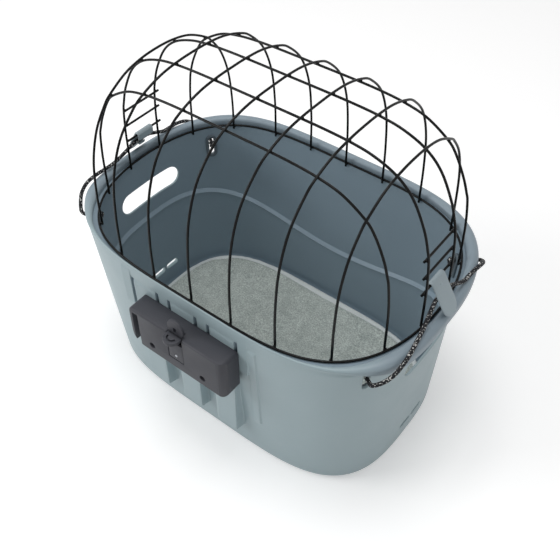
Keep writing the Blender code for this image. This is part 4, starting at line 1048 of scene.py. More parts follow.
    def rows(self) -> tuple[Rows, int]:
        """All rows of the shell from the ground up, over the rim and down to the floor.

        Returns:
            The rows, and the first one of the inside.
        """
        rows: Rows = [FOOT.shrunk(FOOT_RADIUS + self.flat_in).points(self.turns, 0.0)]
        rows += [FOOT.shrunk(inset).points(self.turns, height)
                 for inset, height in fillet(FOOT_RADIUS)]
        drops = [0.231, 0.224, 0.217, 0.210, 0.2055, 0.2037, 0.2027, 0.2017, 0.2007, 0.1997,
                 0.1985, 0.196, 0.190, 0.183, 0.178, 0.1767, 0.1754, 0.1741, 0.1728, 0.1715]
        drops += [0.1715 - 0.0085 * i for i in range(1, 12)]
        drops += [0.0705, 0.0691, 0.0685, 0.068, 0.0675, 0.0669, 0.065]
        drops += [0.065 - 0.0078 * i for i in range(1, 5)]
        drops += [0.0275, 0.0252, 0.0242, 0.0232, 0.0222, 0.0212, 0.0202, 0.0192, 0.017, 0.014,
                  0.0115, 0.009]
        rows += [self.outer_row(drop) for drop in drops]
        rows += self.rim_rows()
        inner = len(rows) - 1
        rows.append(RING.shrunk(self.seat_in).points(self.turns, RING_HEIGHT - WIRE / 2 - GAP))
        top = self.ledge_top
        rows += [self.inner_row(top + s) for s in (0.0, 0.0008, 0.0017, 0.0026, 0.0036, 0.0045)]
        for i in range(1, 9):
            rows.append(self.inner_row(lambda t, i=i: top + 0.0045 + (self.ledge_drop(t) - top
                                                                      - 0.0045) * i / 8))
        for i in range(1, 6):
            rows.append(self.inner_row(lambda t, i=i: self.ledge_drop(t) + self.ledge_band * i / 5,
                                       (self.ledge_step + self.ledge_bead) * i / 5))
        for i in (1, 2, 3):
            rows.append(self.inner_row(
                lambda t, i=i: self.ledge_drop(t) + self.ledge_band + self.ledge_fade * i / 3,
                self.ledge_step + self.ledge_bead * (1 - eased(i / 3, 0.0, 1.0))))
        for i in range(1, 7):
            rows.append(self.inner_row(
                lambda t, i=i: (self.ledge_drop(t) + self.ledge_band + self.ledge_fade)
                * (1 - i / 6) + self.heel * i / 6, self.ledge_step))
        rows += [self.inner_row(self.heel + 0.0009 * i, self.ledge_step) for i in range(1, 6)]
        radius = FOOT_RADIUS - WALL
        rows += [FOOT.shrunk(WALL + self.ledge_step + inset).points(self.turns, FLOOR + height)
                 for inset, height in reversed(fillet(radius))]
        plan = FOOT.shrunk(WALL + self.ledge_step + radius + self.flat_in)
        return rows + [plan.points(self.turns, FLOOR)], inner

    def end_cutter(self, side: Side, outline: Outline, middle: tuple[float, float],
                   thick: float) -> Shape:
        """Cutter through an end wall that leaves both edges of the hole rounded."""
        steps = [(0.005, 0.0012), (0.0002, 0.0012), (-0.0002, 0.0007), (-0.0007, 0.0002),
                 (-0.0013, 0.0), (0.0013 - thick, 0.0), (0.0007 - thick, 0.0002),
                 (0.0002 - thick, 0.0007), (-0.0002 - thick, 0.0012), (-0.006 - thick, 0.0012)]
        rows = []
        for off, grow in steps:
            row = []
            for i, (v, u) in enumerate(outline):
                a, b = outline[i - 1], outline[(i + 1) % len(outline)]
                edge = Vector((b[0] - a[0], b[1] - a[1])).normalized()
                y, z = middle[0] + v + edge.y * grow, middle[1] + u - edge.x * grow
                x = wall_plan(RING_HEIGHT - z).end_x(y) + off
                row.append(Vector((side.value * x, y, z)))
            rows.append(row)
        return loft(rows)

    def build(self) -> Piece:
        """Makes the tub and opens its holes."""
        self.spread_columns()
        rows, inner = self.rows()
        shape = loft(rows, inner_from=inner)
        shares = [self.lip_share(t) for t in self.turns]
        rim = len(self.rim_rows())
        # the 'lip' layer: a darker tone over the rolled lip, and painted shade in the grooves of
        # the mount side
        lip = shape.verts.layers.float.new("lip")
        for index, vertex in enumerate(shape.verts):
            row, column = divmod(index, len(shares))
            along = (row - inner + rim - 1) / (rim - 1)
            vertex[lip] = shares[column] * eased(along, 0.02, 0.12) if along > 0 else 0.0
            turn, drop = self.turns[column], RING_HEIGHT - vertex.co.z
            # painted shade in the grooves beside the pilasters
            if row < inner and turn > math.pi and self.shaded[0] < drop < self.shaded[1]:
                place = NECK.at(turn)[0]
                if abs(place) < self.mount_reach:
                    vertex[lip] = max(vertex[lip], self.groove_shade * self.groove_share(place))
        # the inside faces take the darker copy of the tub's plastic: painted shade
        tub = solid("tub_shell", shape, Looks.TUB, Looks.SHADED_LINING)
        length, height, drop = self.hand_hole
        tools = [self.end_cutter(side, stadium(length, height, 14, 14), (0.0, RING_HEIGHT - drop),
                                 WALL) for side in Side]
        length, height, drop = self.vent
        tools += [self.end_cutter(side, stadium(length, height, 10, 4), (y, RING_HEIGHT - drop),
                                  WALL + self.ledge_step)
                  for side in Side for y in (-self.vent_spread, self.vent_spread)]
        tools += [corner.slot_cutter() for corner in corners()]
        tools += [prism(disc(self.bore, 20, side.value * SCREW_SPREAD, SCREW_LEVEL), -0.2, -0.07)
                  for side in Side]
        carve(tub, solid("tub_openings", joined(*tools)))
        pockets = [c.pocket_cutter() for c in corners() if c.edge is Edge.NEAR]
        carve(tub, solid("guide_pockets", joined(*pockets)))
        settle(tub, 32.0)
        return keep(tub, "tub", Looks.TUB, "tub")


# ---------------------------------------------------------------- corner slots, cords and hooks
@dataclass
class Corner:
    """One of the four cord slots: its place on the wall and its own directions."""

    side: Side
    edge: Edge
    base: Vector
    normal: Vector
    up: Vector
    height: float = SLOT_HEIGHT
    width: float = SLOT_WIDTH
    border: float = GUIDE_BORDER
    sheet: float = 0.002
    seat: float = 0.0006
    knot_room: float = 0.00525
    knot_size: float = 0.00112
    knot_deep: float = 0.0017
    knot_cord: float = 0.0021

    @property
    def word(self) -> str:
        """End and side of the corner, as the CAD nodes spell it."""
        return f"{self.side.word}_{self.edge.word}"

    def placed(self, across: float, out: float, up: float) -> Vector:
        """A point in the corner's own directions."""
        return self.base + self.up.cross(self.normal) * across + self.normal * out + self.up * up

    def slotted(self, steps: Sequence[tuple[float, float]], border: float = 0.0) -> Shape:
        """Slot-shaped solid from (out, growth) steps."""
        rows = []
        for out, grow in steps:
            extra = (border + grow) * 2
            outline = stadium(self.height + extra, self.width + extra, 12)
            rows.append([self.placed(u, out, v) for v, u in outline])
        return loft(rows)

    def slot_cutter(self) -> Shape:
        """Cutter of the slot, with rounded edges outside."""
        return self.slotted([(0.008, 0.0014), (0.0008, 0.0014), (0.0003, 0.0009),
                             (-0.0002, 0.0003), (-0.0009, 0.0), (-0.014, 0.0)])

    def pocket_cutter(self) -> Shape:
        """Room for the guide plate behind the ledge."""
        return self.slotted([(-(WALL + self.seat - GAP), 0.0), (-0.028, 0.0)], self.border + GAP)

    def guide(self) -> Piece:
        """The guide plate, with all its edges rounded."""
        face, sheet, soft = WALL + self.seat - GAP, self.sheet + GAP * 2, 0.0006
        mid, edge = soft * 0.3, self.border
        section = ((0.0, soft), (0.0, edge - soft), (mid, edge - mid), (soft, edge),
                   (sheet - soft, edge), (sheet - mid, edge - mid), (sheet, edge - soft),
                   (sheet, soft), (sheet - mid, mid), (sheet - soft, 0.0), (soft, 0.0), (mid, mid))
        rows = []
        for out, border in section:
            outline = stadium(self.height + border * 2, self.width + border * 2, 14)
            rows.append([self.placed(u, -face - out, v) for v, u in outline])
        return solid(f"guide_{self.word}", loft(rows, looped=True), Looks.GUIDE)

    def knot(self, rise: float) -> Piece:
        """The stopper knot: the cord's own end laid over itself in three bights."""
        inner = WALL + self.seat + self.sheet + GAP + self.knot_room
        centre = self.base - self.normal * inner + self.up * rise
        path = []
        for i in range(96):
            t = 2 * math.pi * i / 96
            a, b = math.sin(t) + 2 * math.sin(2 * t), math.cos(t) - 2 * math.cos(2 * t)
            path.append(centre + (self.up * a + self.up.cross(self.normal) * b) * self.knot_size
                        + self.normal * -math.sin(3 * t) * self.knot_deep)
        return solid(f"knot_{self.word}", swept(path, lambda s: self.knot_cord, 14, closed=True),
                     Looks.CORD)


def corners() -> list[Corner]:
    """The four corners, from the shape of the wall."""
    made = []
    for edge, place, drop in ((Edge.NEAR, 0.1145, 0.0245), (Edge.FAR, 0.1074, 0.0315)):
        plan = wall_plan(drop)
        width, power = plan.across(edge is Edge.FAR)
        turn = math.asin((place / width) ** (power / 2)) * edge.value
        a, b = (plan.at(turn + step) for step in (-0.01, 0.01))
        flat = (SLOT_WIDTH / 2 + GUIDE_BORDER + GAP) * 0.02 / math.dist(a, b)

        def wall_point(level: float, here: float) -> Vector:
            return Vector((*wall_plan(level).at(here), RING_HEIGHT - level))
        edges = [(wall_point(level, turn - flat) + wall_point(level, turn + flat)) / 2
                 for level in (drop + SLOT_HEIGHT / 2, drop - SLOT_HEIGHT / 2)]
        up = edges[1] - edges[0]
        along = wall_point(drop, turn + flat) - wall_point(drop, turn - flat)
        normal = along.cross(up).normalized()
        up = normal.cross(along).normalized()
        base = (edges[0] + edges[1]) / 2
        for side in Side:
            mirror = Vector((side.value, 1.0, 1.0))
            made.append(Corner(side, edge, base * mirror, normal * mirror, up * mirror))
    return made


@dataclass
class Closure:
    """The two hooks, their elastic cords, the guides and the knots."""

    bar_x: float
    bar_z: float
    tip_out: float = 0.0182
    tip_rise: float = 0.0075
    sheet: float = 0.0024
    half: float = 0.0135
    inner_leg: float = 0.007
    lug_sheet: float = 0.002
    lug_half: float = 0.005
    behind: float = 0.020
    # legs: (share of the half width, out from the ring, up from the ring)
    near_leg = ((0.190, 0.0052, 0.0205), (0.280, 0.0100, 0.0140), (0.360, 0.0152, 0.0120),
                (0.430, 0.0210, 0.0102), (0.500, 0.0262, 0.0070), (0.560, 0.0287, 0.0000),
                (0.612, 0.0276, -0.0078), (0.664, 0.0240, -0.0136))
    far_leg = ((0.190, 0.0050, 0.0205), (0.280, 0.0090, 0.0127), (0.360, 0.0122, 0.0112),
               (0.430, 0.0164, 0.0095), (0.500, 0.0208, 0.0050), (0.560, 0.0236, -0.0022),
               (0.612, 0.0234, -0.0096), (0.650, 0.0180, -0.0160))

    def line(self) -> tuple[Vector, Vector, Vector, Vector, float]:
        """Bar centre, tip, direction down the tab, its outward normal and the curl's radius."""
        bar = Vector((self.bar_x, self.bar_z))
        tip = Vector((RING.half_length + self.tip_out, RING_HEIGHT + self.tip_rise))
        curl = WIRE / 2 + GAP + self.sheet / 2
        reach = tip - bar
        heading = math.atan2(reach.y, reach.x) - math.asin(curl / reach.length)
        down = Vector((math.cos(heading), math.sin(heading)))
        return bar, tip, down, Vector((-down.y, down.x)), curl

    def cord_middle(self) -> Vector:
        """Where the cord lies behind the tab, in X and Z."""
        bar, _, down, out, curl = self.line()
        return bar + down * self.behind + out * (curl - self.sheet / 2 - GAP - CORD / 2)

    def cord_path(self, side: Side) -> list[Vector]:
        """Centre line of a cord from its near knot to its far one."""
        found = {c.edge: c for c in corners() if c.side is side}
        behind = self.cord_middle()
        middle = Vector((side.value * behind.x, 0.0, behind.y))
        legs = []
        for edge, route in ((Edge.NEAR, self.near_leg), (Edge.FAR, self.far_leg)):
            corner = found[edge]
            leg = [middle, middle + Vector((0.0, edge.value * self.half, 0.0))]
            for share, out, up in route:
                x, y = RING.shrunk(-out).at(math.asin(share ** (SIDE_POWER / 2)))
                leg.append(Vector((side.value * x, edge.value * y, RING_HEIGHT + up)))
            leg.append(corner.placed(0.0, CORD, CORD_RISE))
            leg.append(corner.placed(0.0, -(WALL + corner.seat + corner.sheet - GAP), CORD_RISE))
            legs.append(leg)
        return smooth_path(list(reversed(legs[0])) + legs[1][1:], 0.0022)

    def ribbon(self, path: Sequence[tuple[Vector, float]], half: float, sheet: float,
               side: Side) -> Shape:
        """A folded strip with rounded long edges, from (place, share of its half width) steps."""
        rows = []
        count = len(path)
        soft = sheet * 0.5
        for i, (place, share) in enumerate(path):
            before = path[max(0, i - 1)][0]
            after = path[min(count - 1, i + 1)][0]
            along = (after - before).normalized()
            across = Vector((-along.y, along.x))
            wide = max(0.0002, half * share - soft)
            upper = [(-wide + wide * 2 * j / 8, soft) for j in range(9)]
            upper += [(wide + soft * math.sin(math.radians(a)), soft * math.cos(math.radians(a)))
                      for a in (30, 60, 90, 120, 150)]
            section = upper + [(-y, -t) for y, t in upper]
            rows.append([Vector((side.value * (place.x + across.x * t), y, place.y + across.y * t))
                         for y, t in section])
        return loft(rows)

    def hook(self, side: Side) -> Piece:
        """One hook: the tab folded over its bar, its round tip and the lug that holds the cord."""
        bar, tip, down, out, curl = self.line()
        start = math.atan2(out.y, out.x)
        path = [(bar + Vector((-curl, -self.inner_leg)), 0.93),
                (bar + Vector((-curl, -self.inner_leg + 0.0007)), 1.0)]
        for i in range(19):
            angle = math.pi + (start - math.pi) * i / 18
            path.append((bar + Vector((math.cos(angle), math.sin(angle))) * curl, 1.0))
        foot = bar + out * curl
        length = (tip - foot).length
        for i in range(1, 9):
            path.append((foot + down * (length - self.half) * i / 8, 1.0))
        for degrees in (10, 20, 30, 40, 50, 60, 68, 75, 81, 86, 89):
            reach = self.half * math.sin(math.radians(degrees))
            path.append((foot + down * (length - self.half + reach),
                         math.cos(math.radians(degrees))))
        shape = self.ribbon(path, self.half, self.sheet, side)
        root = foot + down * (self.behind + CORD / 2 + GAP + self.lug_sheet / 2)
        bend = root - out * (self.sheet / 2 + CORD + GAP * 2 + self.lug_sheet / 2)
        lug_line = [Vector((*p, 0)) for p in (root, bend, bend - down * (CORD * 0.7))]
        lug = [(Vector((p.x, p.y)), 1.0) for p in smooth_path(lug_line, 0.0006)]
        shape = joined(shape, self.ribbon(lug, self.lug_half, self.lug_sheet, side))
        # the gate mark of the moulding: a small raised dot under the fold
        spot = foot + down * 0.006 + out * self.sheet / 2
        dot = []
        for radius, lift in ((0.0019, -0.0003), (0.0019, 0.0001), (0.0015, 0.00035),
                             (0.0006, 0.00045)):
            row = []
            for a, b in disc(radius, 20):
                here = spot + down * a + out * lift
                row.append(Vector((side.value * here.x, b, here.y)))
            dot.append(row)
        shape = joined(shape, loft(dot))
        return solid(f"{side.word}_hook_tab", shape, Looks.HOOK, sharp=45.0)

    def build_cords(self) -> None:
        for side in Side:
            path = self.cord_path(side)
            cord = solid(f"{side.word}_elastic", swept(path, lambda s: CORD / 2, 18), Looks.CORD,
                         sharp=60.0)
            keep(cord, "tub", Looks.CORD, f"{side.word}_cord")
            for corner in (c for c in corners() if c.side is side):
                keep(corner.knot(CORD_RISE), "tub", Looks.CORD,
                                  f"cord_knot_{corner.word}")

    def build(self) -> None:
        """Makes the hooks and the guides."""
        for side in Side:
            keep(self.hook(side), f"{side.word}_hook", Looks.HOOK, f"{side.word}_hook")
        for corner in corners():
            keep(corner.guide(), "tub", Looks.GUIDE, f"cord_guide_{corner.word}")


# ---------------------------------------------------------------- cage
@dataclass
class Cage:
    """The wire cage: base ring, crosswise and lengthwise wires, ladder bars and welds."""

    rise: float = 0.2067
    mix: float = 1.3045
    power: float = 3.1885
    weld: float = WIRE + GAP
    pitch: float = 0.0587
    inner_spread: float = 0.028
    outer_spread: float = 0.0818
    foot_drop: float = 0.003
    bar_levels: tuple[float, ...] = (0.0465, 0.0710, 0.0955)
    bar_stub: float = 0.0035
    step: float = 0.0035
    foot_weld: float = 0.42
    bead: float = 0.0019

    def __post_init__(self) -> None:
        """Works out the dome's own half sizes."""
        self.half_length = RING.half_length - self.weld
        self.half_width = RING.far_width - self.weld
        self.lanes = (-self.outer_spread, -self.inner_spread, self.inner_spread,
                      self.outer_spread)

    def share_at(self, x: float, y: float) -> float:
        """0 at the middle of the plan and 1 at its edge."""
        return ((abs(x) / self.half_length) ** END_POWER
                + (abs(y) / self.half_width) ** SIDE_POWER)

    def level(self, x: float, y: float) -> float:
        """Height of the dome above the ring."""
        share = self.share_at(x, y)
        return self.rise * max(0.0, 1 - share ** self.mix) ** (1 / self.power)

    def reach(self, level: float, fixed: float, along_y: bool) -> float:
        """Where a wire that keeps x or y meets a level of the dome."""
        share = (1 - (level / self.rise) ** self.power) ** (1 / self.mix)
        if along_y:
            rest = share - (abs(fixed) / self.half_length) ** END_POWER
            return self.half_width * rest ** (1 / SIDE_POWER)
        rest = share - (abs(fixed) / self.half_width) ** SIDE_POWER
        return self.half_length * rest ** (1 / END_POWER)

    def normal(self, x: float, y: float, z: float) -> Vector:
        """Outward normal of the dome."""
        share = self.share_at(x, y)
        mix = self.mix * share ** (self.mix - 1)
        gx = mix * END_POWER * (abs(x) / self.half_length) ** (END_POWER - 1) / self.half_length
        gy = mix * SIDE_POWER * (abs(y) / self.half_width) ** (SIDE_POWER - 1) / self.half_width
        gz = self.power * (z / self.rise) ** (self.power - 1) / self.rise
        return Vector((math.copysign(gx, x), math.copysign(gy, y), gz)).normalized()

    def cross_wire(self, x: float) -> list[Vector]:
        """Crosswise wire over the crown and down to both feet."""
        half = [0.0, self.inner_spread, (self.inner_spread + self.outer_spread) / 2,
                self.outer_spread]
        arm = [(y, self.level(x, y)) for y in half]
        for degrees in (20, 38, 56, 74):
            level = arm[3][1] * math.cos(math.radians(degrees))
            arm.append((self.reach(level, x, True), level))
        foot = self.reach(0.0, x, True)
        arm += [(foot, 0.0), (foot, -self.foot_drop)]
        path = [Vector((x, -y, RING_HEIGHT + z)) for y, z in reversed(arm[1:])]
        return smooth_path(path + [Vector((x, y, RING_HEIGHT + z)) for y, z in arm],
                           self.step)

    def long_wire(self, y: float) -> list[Vector]:
        """Lengthwise wire, welded under the crosswise ones, and down to both feet."""
        arm = []
        for x in (self.pitch / 2 * i for i in range(7)):
            z = self.level(x, y)
            arm.append(Vector((x, y, z)) - self.normal(x, y, z) * self.weld)
        shoulder, top = self.level(self.pitch * 3, y), self.bar_levels[-1]
        for share, weld in ((0.78, 1.0), (0.42, 0.75), (0.14, 0.25)):
            level = top + (shoulder - top) * share
            x = self.reach(level, y, False)
            arm.append(Vector((x, y, level)) - self.normal(x, y, level) * self.weld * weld)
        arm += [Vector((self.reach(level, y, False), y, level))
                for level in reversed(self.bar_levels)]
        foot = self.reach(0.0, y, False)
        arm += [Vector((foot, y, 0.0)), Vector((foot, y, -self.foot_drop))]
        raised = Vector((0.0, 0.0, RING_HEIGHT))
        path = [Vector((-p.x, p.y, p.z)) + raised for p in reversed(arm[1:])]
        return smooth_path(path + [p + raised for p in arm], self.step)

    def bar_x(self, level: float) -> float:
        """Distance of a ladder bar from the middle."""
        return self.reach(level, self.inner_spread, False) - self.weld

    def welds(self) -> list[Vector]:
        """Places of the weld beads: crossings, ladder bars and feet."""
        spots = []
        for i in range(-3, 4):
            x = i * self.pitch
            for y in self.lanes:
                z = self.level(x, y)
                spots.append(Vector((x, y, RING_HEIGHT + z))
                             - self.normal(x, y, z) * self.weld / 2)
            for sign in (-1, 1):
                foot = self.reach(0.0, x, True) + self.weld * self.foot_weld
                spots.append(Vector((x, sign * foot, RING_HEIGHT)))
        for sign in (-1, 1):
            for y in self.lanes:
                foot = self.reach(0.0, y, False) + self.weld * self.foot_weld
                spots.append(Vector((sign * foot, y, RING_HEIGHT)))
            for level in self.bar_levels:
                for y in self.lanes[1:3]:
                    spots.append(Vector((sign * (self.bar_x(level) + self.weld / 2), y,
                                         RING_HEIGHT + level)))
        return spots

    def build(self) -> None:
        """Makes the wires of each kind and their welds."""
        tree = wire_tree()
        reach = self.inner_spread + self.bar_stub
        bars = [[Vector((side.value * self.bar_x(level), y, RING_HEIGHT + level))
                 for y in (-reach, -reach / 2, 0.0, reach / 2, reach)]
                for side in Side for level in self.bar_levels]
        for name, paths, nodes in (
                ("base_ring", [RING.points(even_turns(300), RING_HEIGHT)], ["cage_ring"]),
                ("crosswise_hoops", [self.cross_wire((i - 3) * self.pitch) for i in range(7)],
                 [f"cross_wire_{i + 1}" for i in range(7)]),
                ("lengthwise_wires", [self.long_wire(y) for y in self.lanes],
                 [f"long_wire_{i + 1}" for i in range(4)]),
                ("ladder_bars", bars, [f"{side.word}_ladder_bar_{i + 1}" for side in Side
                                       for i in range(3)])):
            piece = grown(name, paths, tree, {"Diameter": WIRE}, Looks.WIRE,
                          closed=name == "base_ring")
            keep(piece, "cage", Looks.WIRE, *nodes)
        piece = grown("weld_beads", [[p] for p in self.welds()], bead_tree(),
                      {"Bead": self.bead}, Looks.WIRE)
        keep(piece, "cage", Looks.WIRE)


# ---------------------------------------------------------------- cushion
@dataclass
class Cushion:
    """The plush floor cushion with its bound edge."""

    height: float = 0.018
    clear: float = 0.003
    border: float = 0.013
    voxel: float = 0.005
    cap: float = 0.006
    draw: float = 0.0006
    tape_fade: float = 0.0016
    dent: float = 0.0022
    dent_reach: float = 0.0032
    stitch: float = 0.0042
    thread: float = 0.0009
    thread_rise: float = 0.0004
    # uneven filling: (slice of the noise, waves in a metre, height)
    lumps = ((0.0, 14, 0.0014), (3.0, 45, 0.0005))
    steps: int = 20

    def __post_init__(self) -> None:
        """Works out the plan that the cushion fills and its underside."""
        self.plan = FOOT.shrunk(WALL + LEDGE_STEP + self.clear)
        self.base = FLOOR + GAP

    def pad(self) -> Piece:
        """The pad before it is filled: a little smaller than its place."""
        turns = even_turns(150, FOOT)
        steps = ((0.012, 0.0), (0.005, 0.0012), (0.0022, 0.005), (0.0022, 0.009), (0.005, 0.0125),
                 (0.010, 0.0142), (0.020, 0.0152), (0.040, 0.0156))
        rows = [self.plan.shrunk(inset).points(turns, self.base + up) for inset, up in steps]
        return solid("floor_pad", loft(rows), Looks.PLUSH)

    def fill(self, pad: Piece) -> None:
        """Swells the pad with a short cloth simulation and settles it on the floor."""
        grid = pad.modifiers.new("even_faces", "REMESH")
        grid.mode, grid.voxel_size = "VOXEL", self.voxel
        settle(pad, 180.0)
        start = [v.co.copy() for v in pad.data.vertices]
        cloth = pad.modifiers.new("stuffing", "CLOTH")
        stuff = cloth.settings
        stuff.quality, stuff.mass = 5, 0.3
        stuff.tension_stiffness, stuff.bending_stiffness = 22, 2.5
        stuff.use_pressure, stuff.uniform_pressure_force = True, 4.0
        stuff.effector_weights.gravity = 0.0
        cloth.point_cache.frame_start, cloth.point_cache.frame_end = 1, self.steps
        for step in range(1, self.steps + 1):
            bpy.context.scene.frame_set(step)
        settle(pad, 180.0)
        bpy.context.scene.frame_set(1)
        for vertex, first in zip(pad.data.vertices, start):
            depth = self.plan.depth_of(first.x, first.y)
            move = (vertex.co - first) * eased(depth, self.border * 0.6, self.border * 1.8)
            flat = math.hypot(move.x, move.y)
            hold = min(1.0, self.draw / flat) if flat else 1.0
            vertex.co = first + Vector((move.x * hold, move.y * hold,
                                        min(max(move.z, -self.cap), self.cap)))
            vertex.co.z = min(max(vertex.co.z, self.base), self.base + self.height)

    def seam(self) -> list[Vector]:
        """Line of the stitches between the binding and the plush."""
        return self.plan.shrunk(self.border).points(even_turns(400, FOOT), 0.0)

    def build(self) -> None:
        """Makes the cushion, presses its seam in and lays the stitches."""
        pad = self.pad()
        self.fill(pad)
        finer = pad.modifiers.new("finer", "SUBSURF")
        finer.levels = finer.render_levels = 1
        settle(pad, 180.0)
        mesh = pad.data
        bound = mesh.attributes.new("binding", "FLOAT", "POINT")
        tops: list[tuple[float, float, float]] = []
        for vertex in mesh.vertices:
            x, y, z = vertex.co
            depth = self.plan.depth_of(x, y)
            bound.data[vertex.index].value = 1 - eased(depth, self.border - self.tape_fade,
                                                       self.border + self.tape_fade)
            if z > self.base + self.height * 0.5:
                dent = self.dent * math.exp(-((depth - self.border) / self.dent_reach) ** 2)
                plump = sum(noise.noise(Vector((x, y, cut)) * waves) * high
                            for cut, waves, high in self.lumps)
                vertex.co.z = min(z - dent + plump * eased(depth, 0.008, 0.03),
                                  self.base + self.height)
                tops.append((x, y, vertex.co.z))
        keep(pad, "tub", Looks.PLUSH, "floor_cushion")
        line = self.seam()
        for point in line:
            close = min(tops, key=lambda p: (p[0] - point.x) ** 2 + (p[1] - point.y) ** 2)
            point.z = close[2] + self.thread_rise
        for _ in range(6):
            heights = [p.z for p in line]
            for i, point in enumerate(line):
                point.z = (heights[i - 1] + heights[i] * 2 + heights[(i + 1) % len(line)]) / 4
        thread = grown("binding_stitches", [line], stitch_tree(),
                       {"Pitch": self.stitch, "Thread": self.thread}, Looks.PLUSH, closed=True)
        values = thread.data.attributes.new("binding", "FLOAT", "POINT")
        for item in values.data:
            item.value = 1.0
        keep(thread, "tub", Looks.PLUSH)


# ---------------------------------------------------------------- handlebar mount
@dataclass
class MountBox:
    """The quick-release box with its latch, thumb button and padlock eye."""

    back: float = 0.1628
    front: float = 0.1903
    top: float = 0.2185
    base: float = 0.1575
    half: float = 0.074
    wall: float = 0.003
    corner: float = 0.006
    toe: float = 0.020
    nose: float = 0.012
    nose_deep: float = 0.0132
    edge: float = 0.0026
    socket: tuple[float, float] = (0.009, 0.012)
    side_wall: float = 0.0055
    panel_half: float = 0.0117
    panel_low: float = 0.1748
    panel_high: float = 0.2054
    panel_sheet: float = 0.0027
    line: float = 0.0010
    pin_rise: float = 0.0074
    travel: float = 0.003
    lug: float = 0.011
    plate: float = 0.005
    plate_out: float = 0.013
    disc_radius: float = 0.0125
    disc_sheet: float = 0.004
    stem_in: float = 0.0073
    stem_deep: float = 0.008
    stem_long: float = 0.0345
    stem_half: float = 0.0045
    neck_half: float = 0.0072
    neck_deep: float = 0.0055
    sunk: float = 0.0006
    grip: tuple[float, float, float] = (0.0046, 0.0068, 0.0030)
    head_bore: float = 0.0042
    bore: float = 0.0023
    post: float = 0.0059
    rail: tuple[float, float] = (0.0025, 0.012)
    eye_rise: float = 0.0092

    @property
    def stem_front(self) -> float:
        """Front of the button's stem, along Y."""
        return -self.front + self.wall + self.stem_in

    def housing(self) -> Piece:
        """The box itself: a rounded shell with its nose, socket, bores and window."""
        soft = self.edge
        outline = rounded([(-self.half, self.top, self.corner), (self.half, self.top, self.corner),
                           (self.half, self.base, self.corner), (-self.half, self.base, self.toe)],
                          10)
        steps = [(self.back, 0.0)]
        steps += [(self.front - soft + soft * math.sin(math.radians(a)),
                   soft * (1 - math.cos(math.radians(a)))) for a in (0, 18, 36, 54, 72, 90)]
        middle = Vector((0.0, (self.top + self.base) / 2))
        rows = []
        for depth, inset in steps:
            row = []
            for x, z in outline:
                nx, nz = x - middle.x, z - middle.y
                fx = (abs(nx) - inset) / abs(nx) if abs(nx) > 1e-6 else 1.0
                fz = (abs(nz) - inset) / abs(nz) if abs(nz) > 1e-6 else 1.0
                row.append(Vector((nx * fx, -depth, middle.y + nz * fz)))
            rows.append(row)
        box = solid("quick_release_box", loft(rows), Looks.MOUNT)
        nose = self.half - self.nose
        corner = [(nose, -self.front - OVERRUN), (self.half + OVERRUN, -self.front - OVERRUN),
                  (self.half + OVERRUN, -self.front + self.nose_deep)]
        off = 0.00004       # keeps the ends of the arc clear of the straight cuts
        for i in range(15):
            angle = math.radians(90 * i / 14)
            corner.append((nose + self.nose * math.cos(angle) + off * (i == 0),
                           -self.front + self.nose_deep * (1 - math.sin(angle))
                           - off * (i == 14)))
        carve(box, solid("nose_trim", prism(corner, self.base - OVERRUN, self.top + OVERRUN,
                                             "Z")))
        left = -self.half + self.side_wall
        cavity = solid("cavity", brick((left + self.socket[0] + self.wall, -self.front + self.wall,
                                        self.base + self.wall),
                                       (nose, -self.back + 0.004, self.top - self.wall)))
        posts = [prism(disc(self.post, 32, side.value * SCREW_SPREAD, SCREW_LEVEL), -self.front,
                       -self.back + 0.008) for side in Side]
        carve(cavity, solid("posts", joined(*posts)))
        settle(cavity)
        carve(box, cavity)
        tools = [brick((left, -self.front - OVERRUN, self.base - OVERRUN),
                       (left + self.socket[0], -self.front + self.socket[1],
                        self.top - self.side_wall))]
        seat = (self.front + self.back) / 2
        for side in Side:
            recess = ((self.front + 0.003, 0.0047), (self.front + 0.0001, 0.0047),
                      (self.front - 0.0003, 0.0043), (self.front - 0.0008, self.head_bore),
                      (seat, self.head_bore), (seat - 0.00001, self.bore),
                      (self.back - OVERRUN, self.bore))
            tools.append(turned([(-depth, radius) for depth, radius in recess],
                                side.value * SCREW_SPREAD, SCREW_LEVEL))
        window = self.panel_half + self.line / 2
        tools.append(brick((-window, -self.front - OVERRUN, self.panel_low - self.line / 2),
                           (window, -self.front + self.wall + GAP, self.top + OVERRUN)))
        carve(box, solid("openings", joined(*tools)))
        settle(box)
        return rounded_edges(box, 0.0005, 2, sharp=30.0)

    def button(self) -> Piece:
        """The thumb plate with its C-shaped grip slot, and the stem under it."""
        top = self.top + self.travel / 3
        rear = -self.front + self.wall - GAP
        centre = -self.front - self.plate_out + self.lug
        outline = [(self.lug, rear), (-self.lug, rear)] + arc(self.lug, 180, 180, 24, z=centre)
        plate = solid("thumb_button", prism(outline, top - self.plate, top, "Z"), Looks.MOUNT)
        rounded_edges(plate, 0.0011)
        # the grip: a bent slot round the middle of the plate
        inner, outer, deep = self.grip
        groove = arc(outer, 180, 170, 24, z=centre) + arc(inner, 350, -170, 24, z=centre)
        carve(plate, solid("grip_slot", prism(groove, top - deep, top + OVERRUN, "Z")))
        under = top - self.plate
        rear = self.stem_front + self.stem_deep
        parts = [brick((-self.neck_half, -self.front - self.travel, under - self.neck_deep),
                       (self.neck_half, rear, under + self.sunk)),
                 brick((-self.stem_half, self.stem_front, under - self.stem_long),
                       (self.stem_half, rear, under - 0.005))]
        for part in parts:
            carve(plate, solid("stem_part", part), "UNION")
        settle(plate)
        return rounded_edges(plate, 0.0003, 2, sharp=35.0)

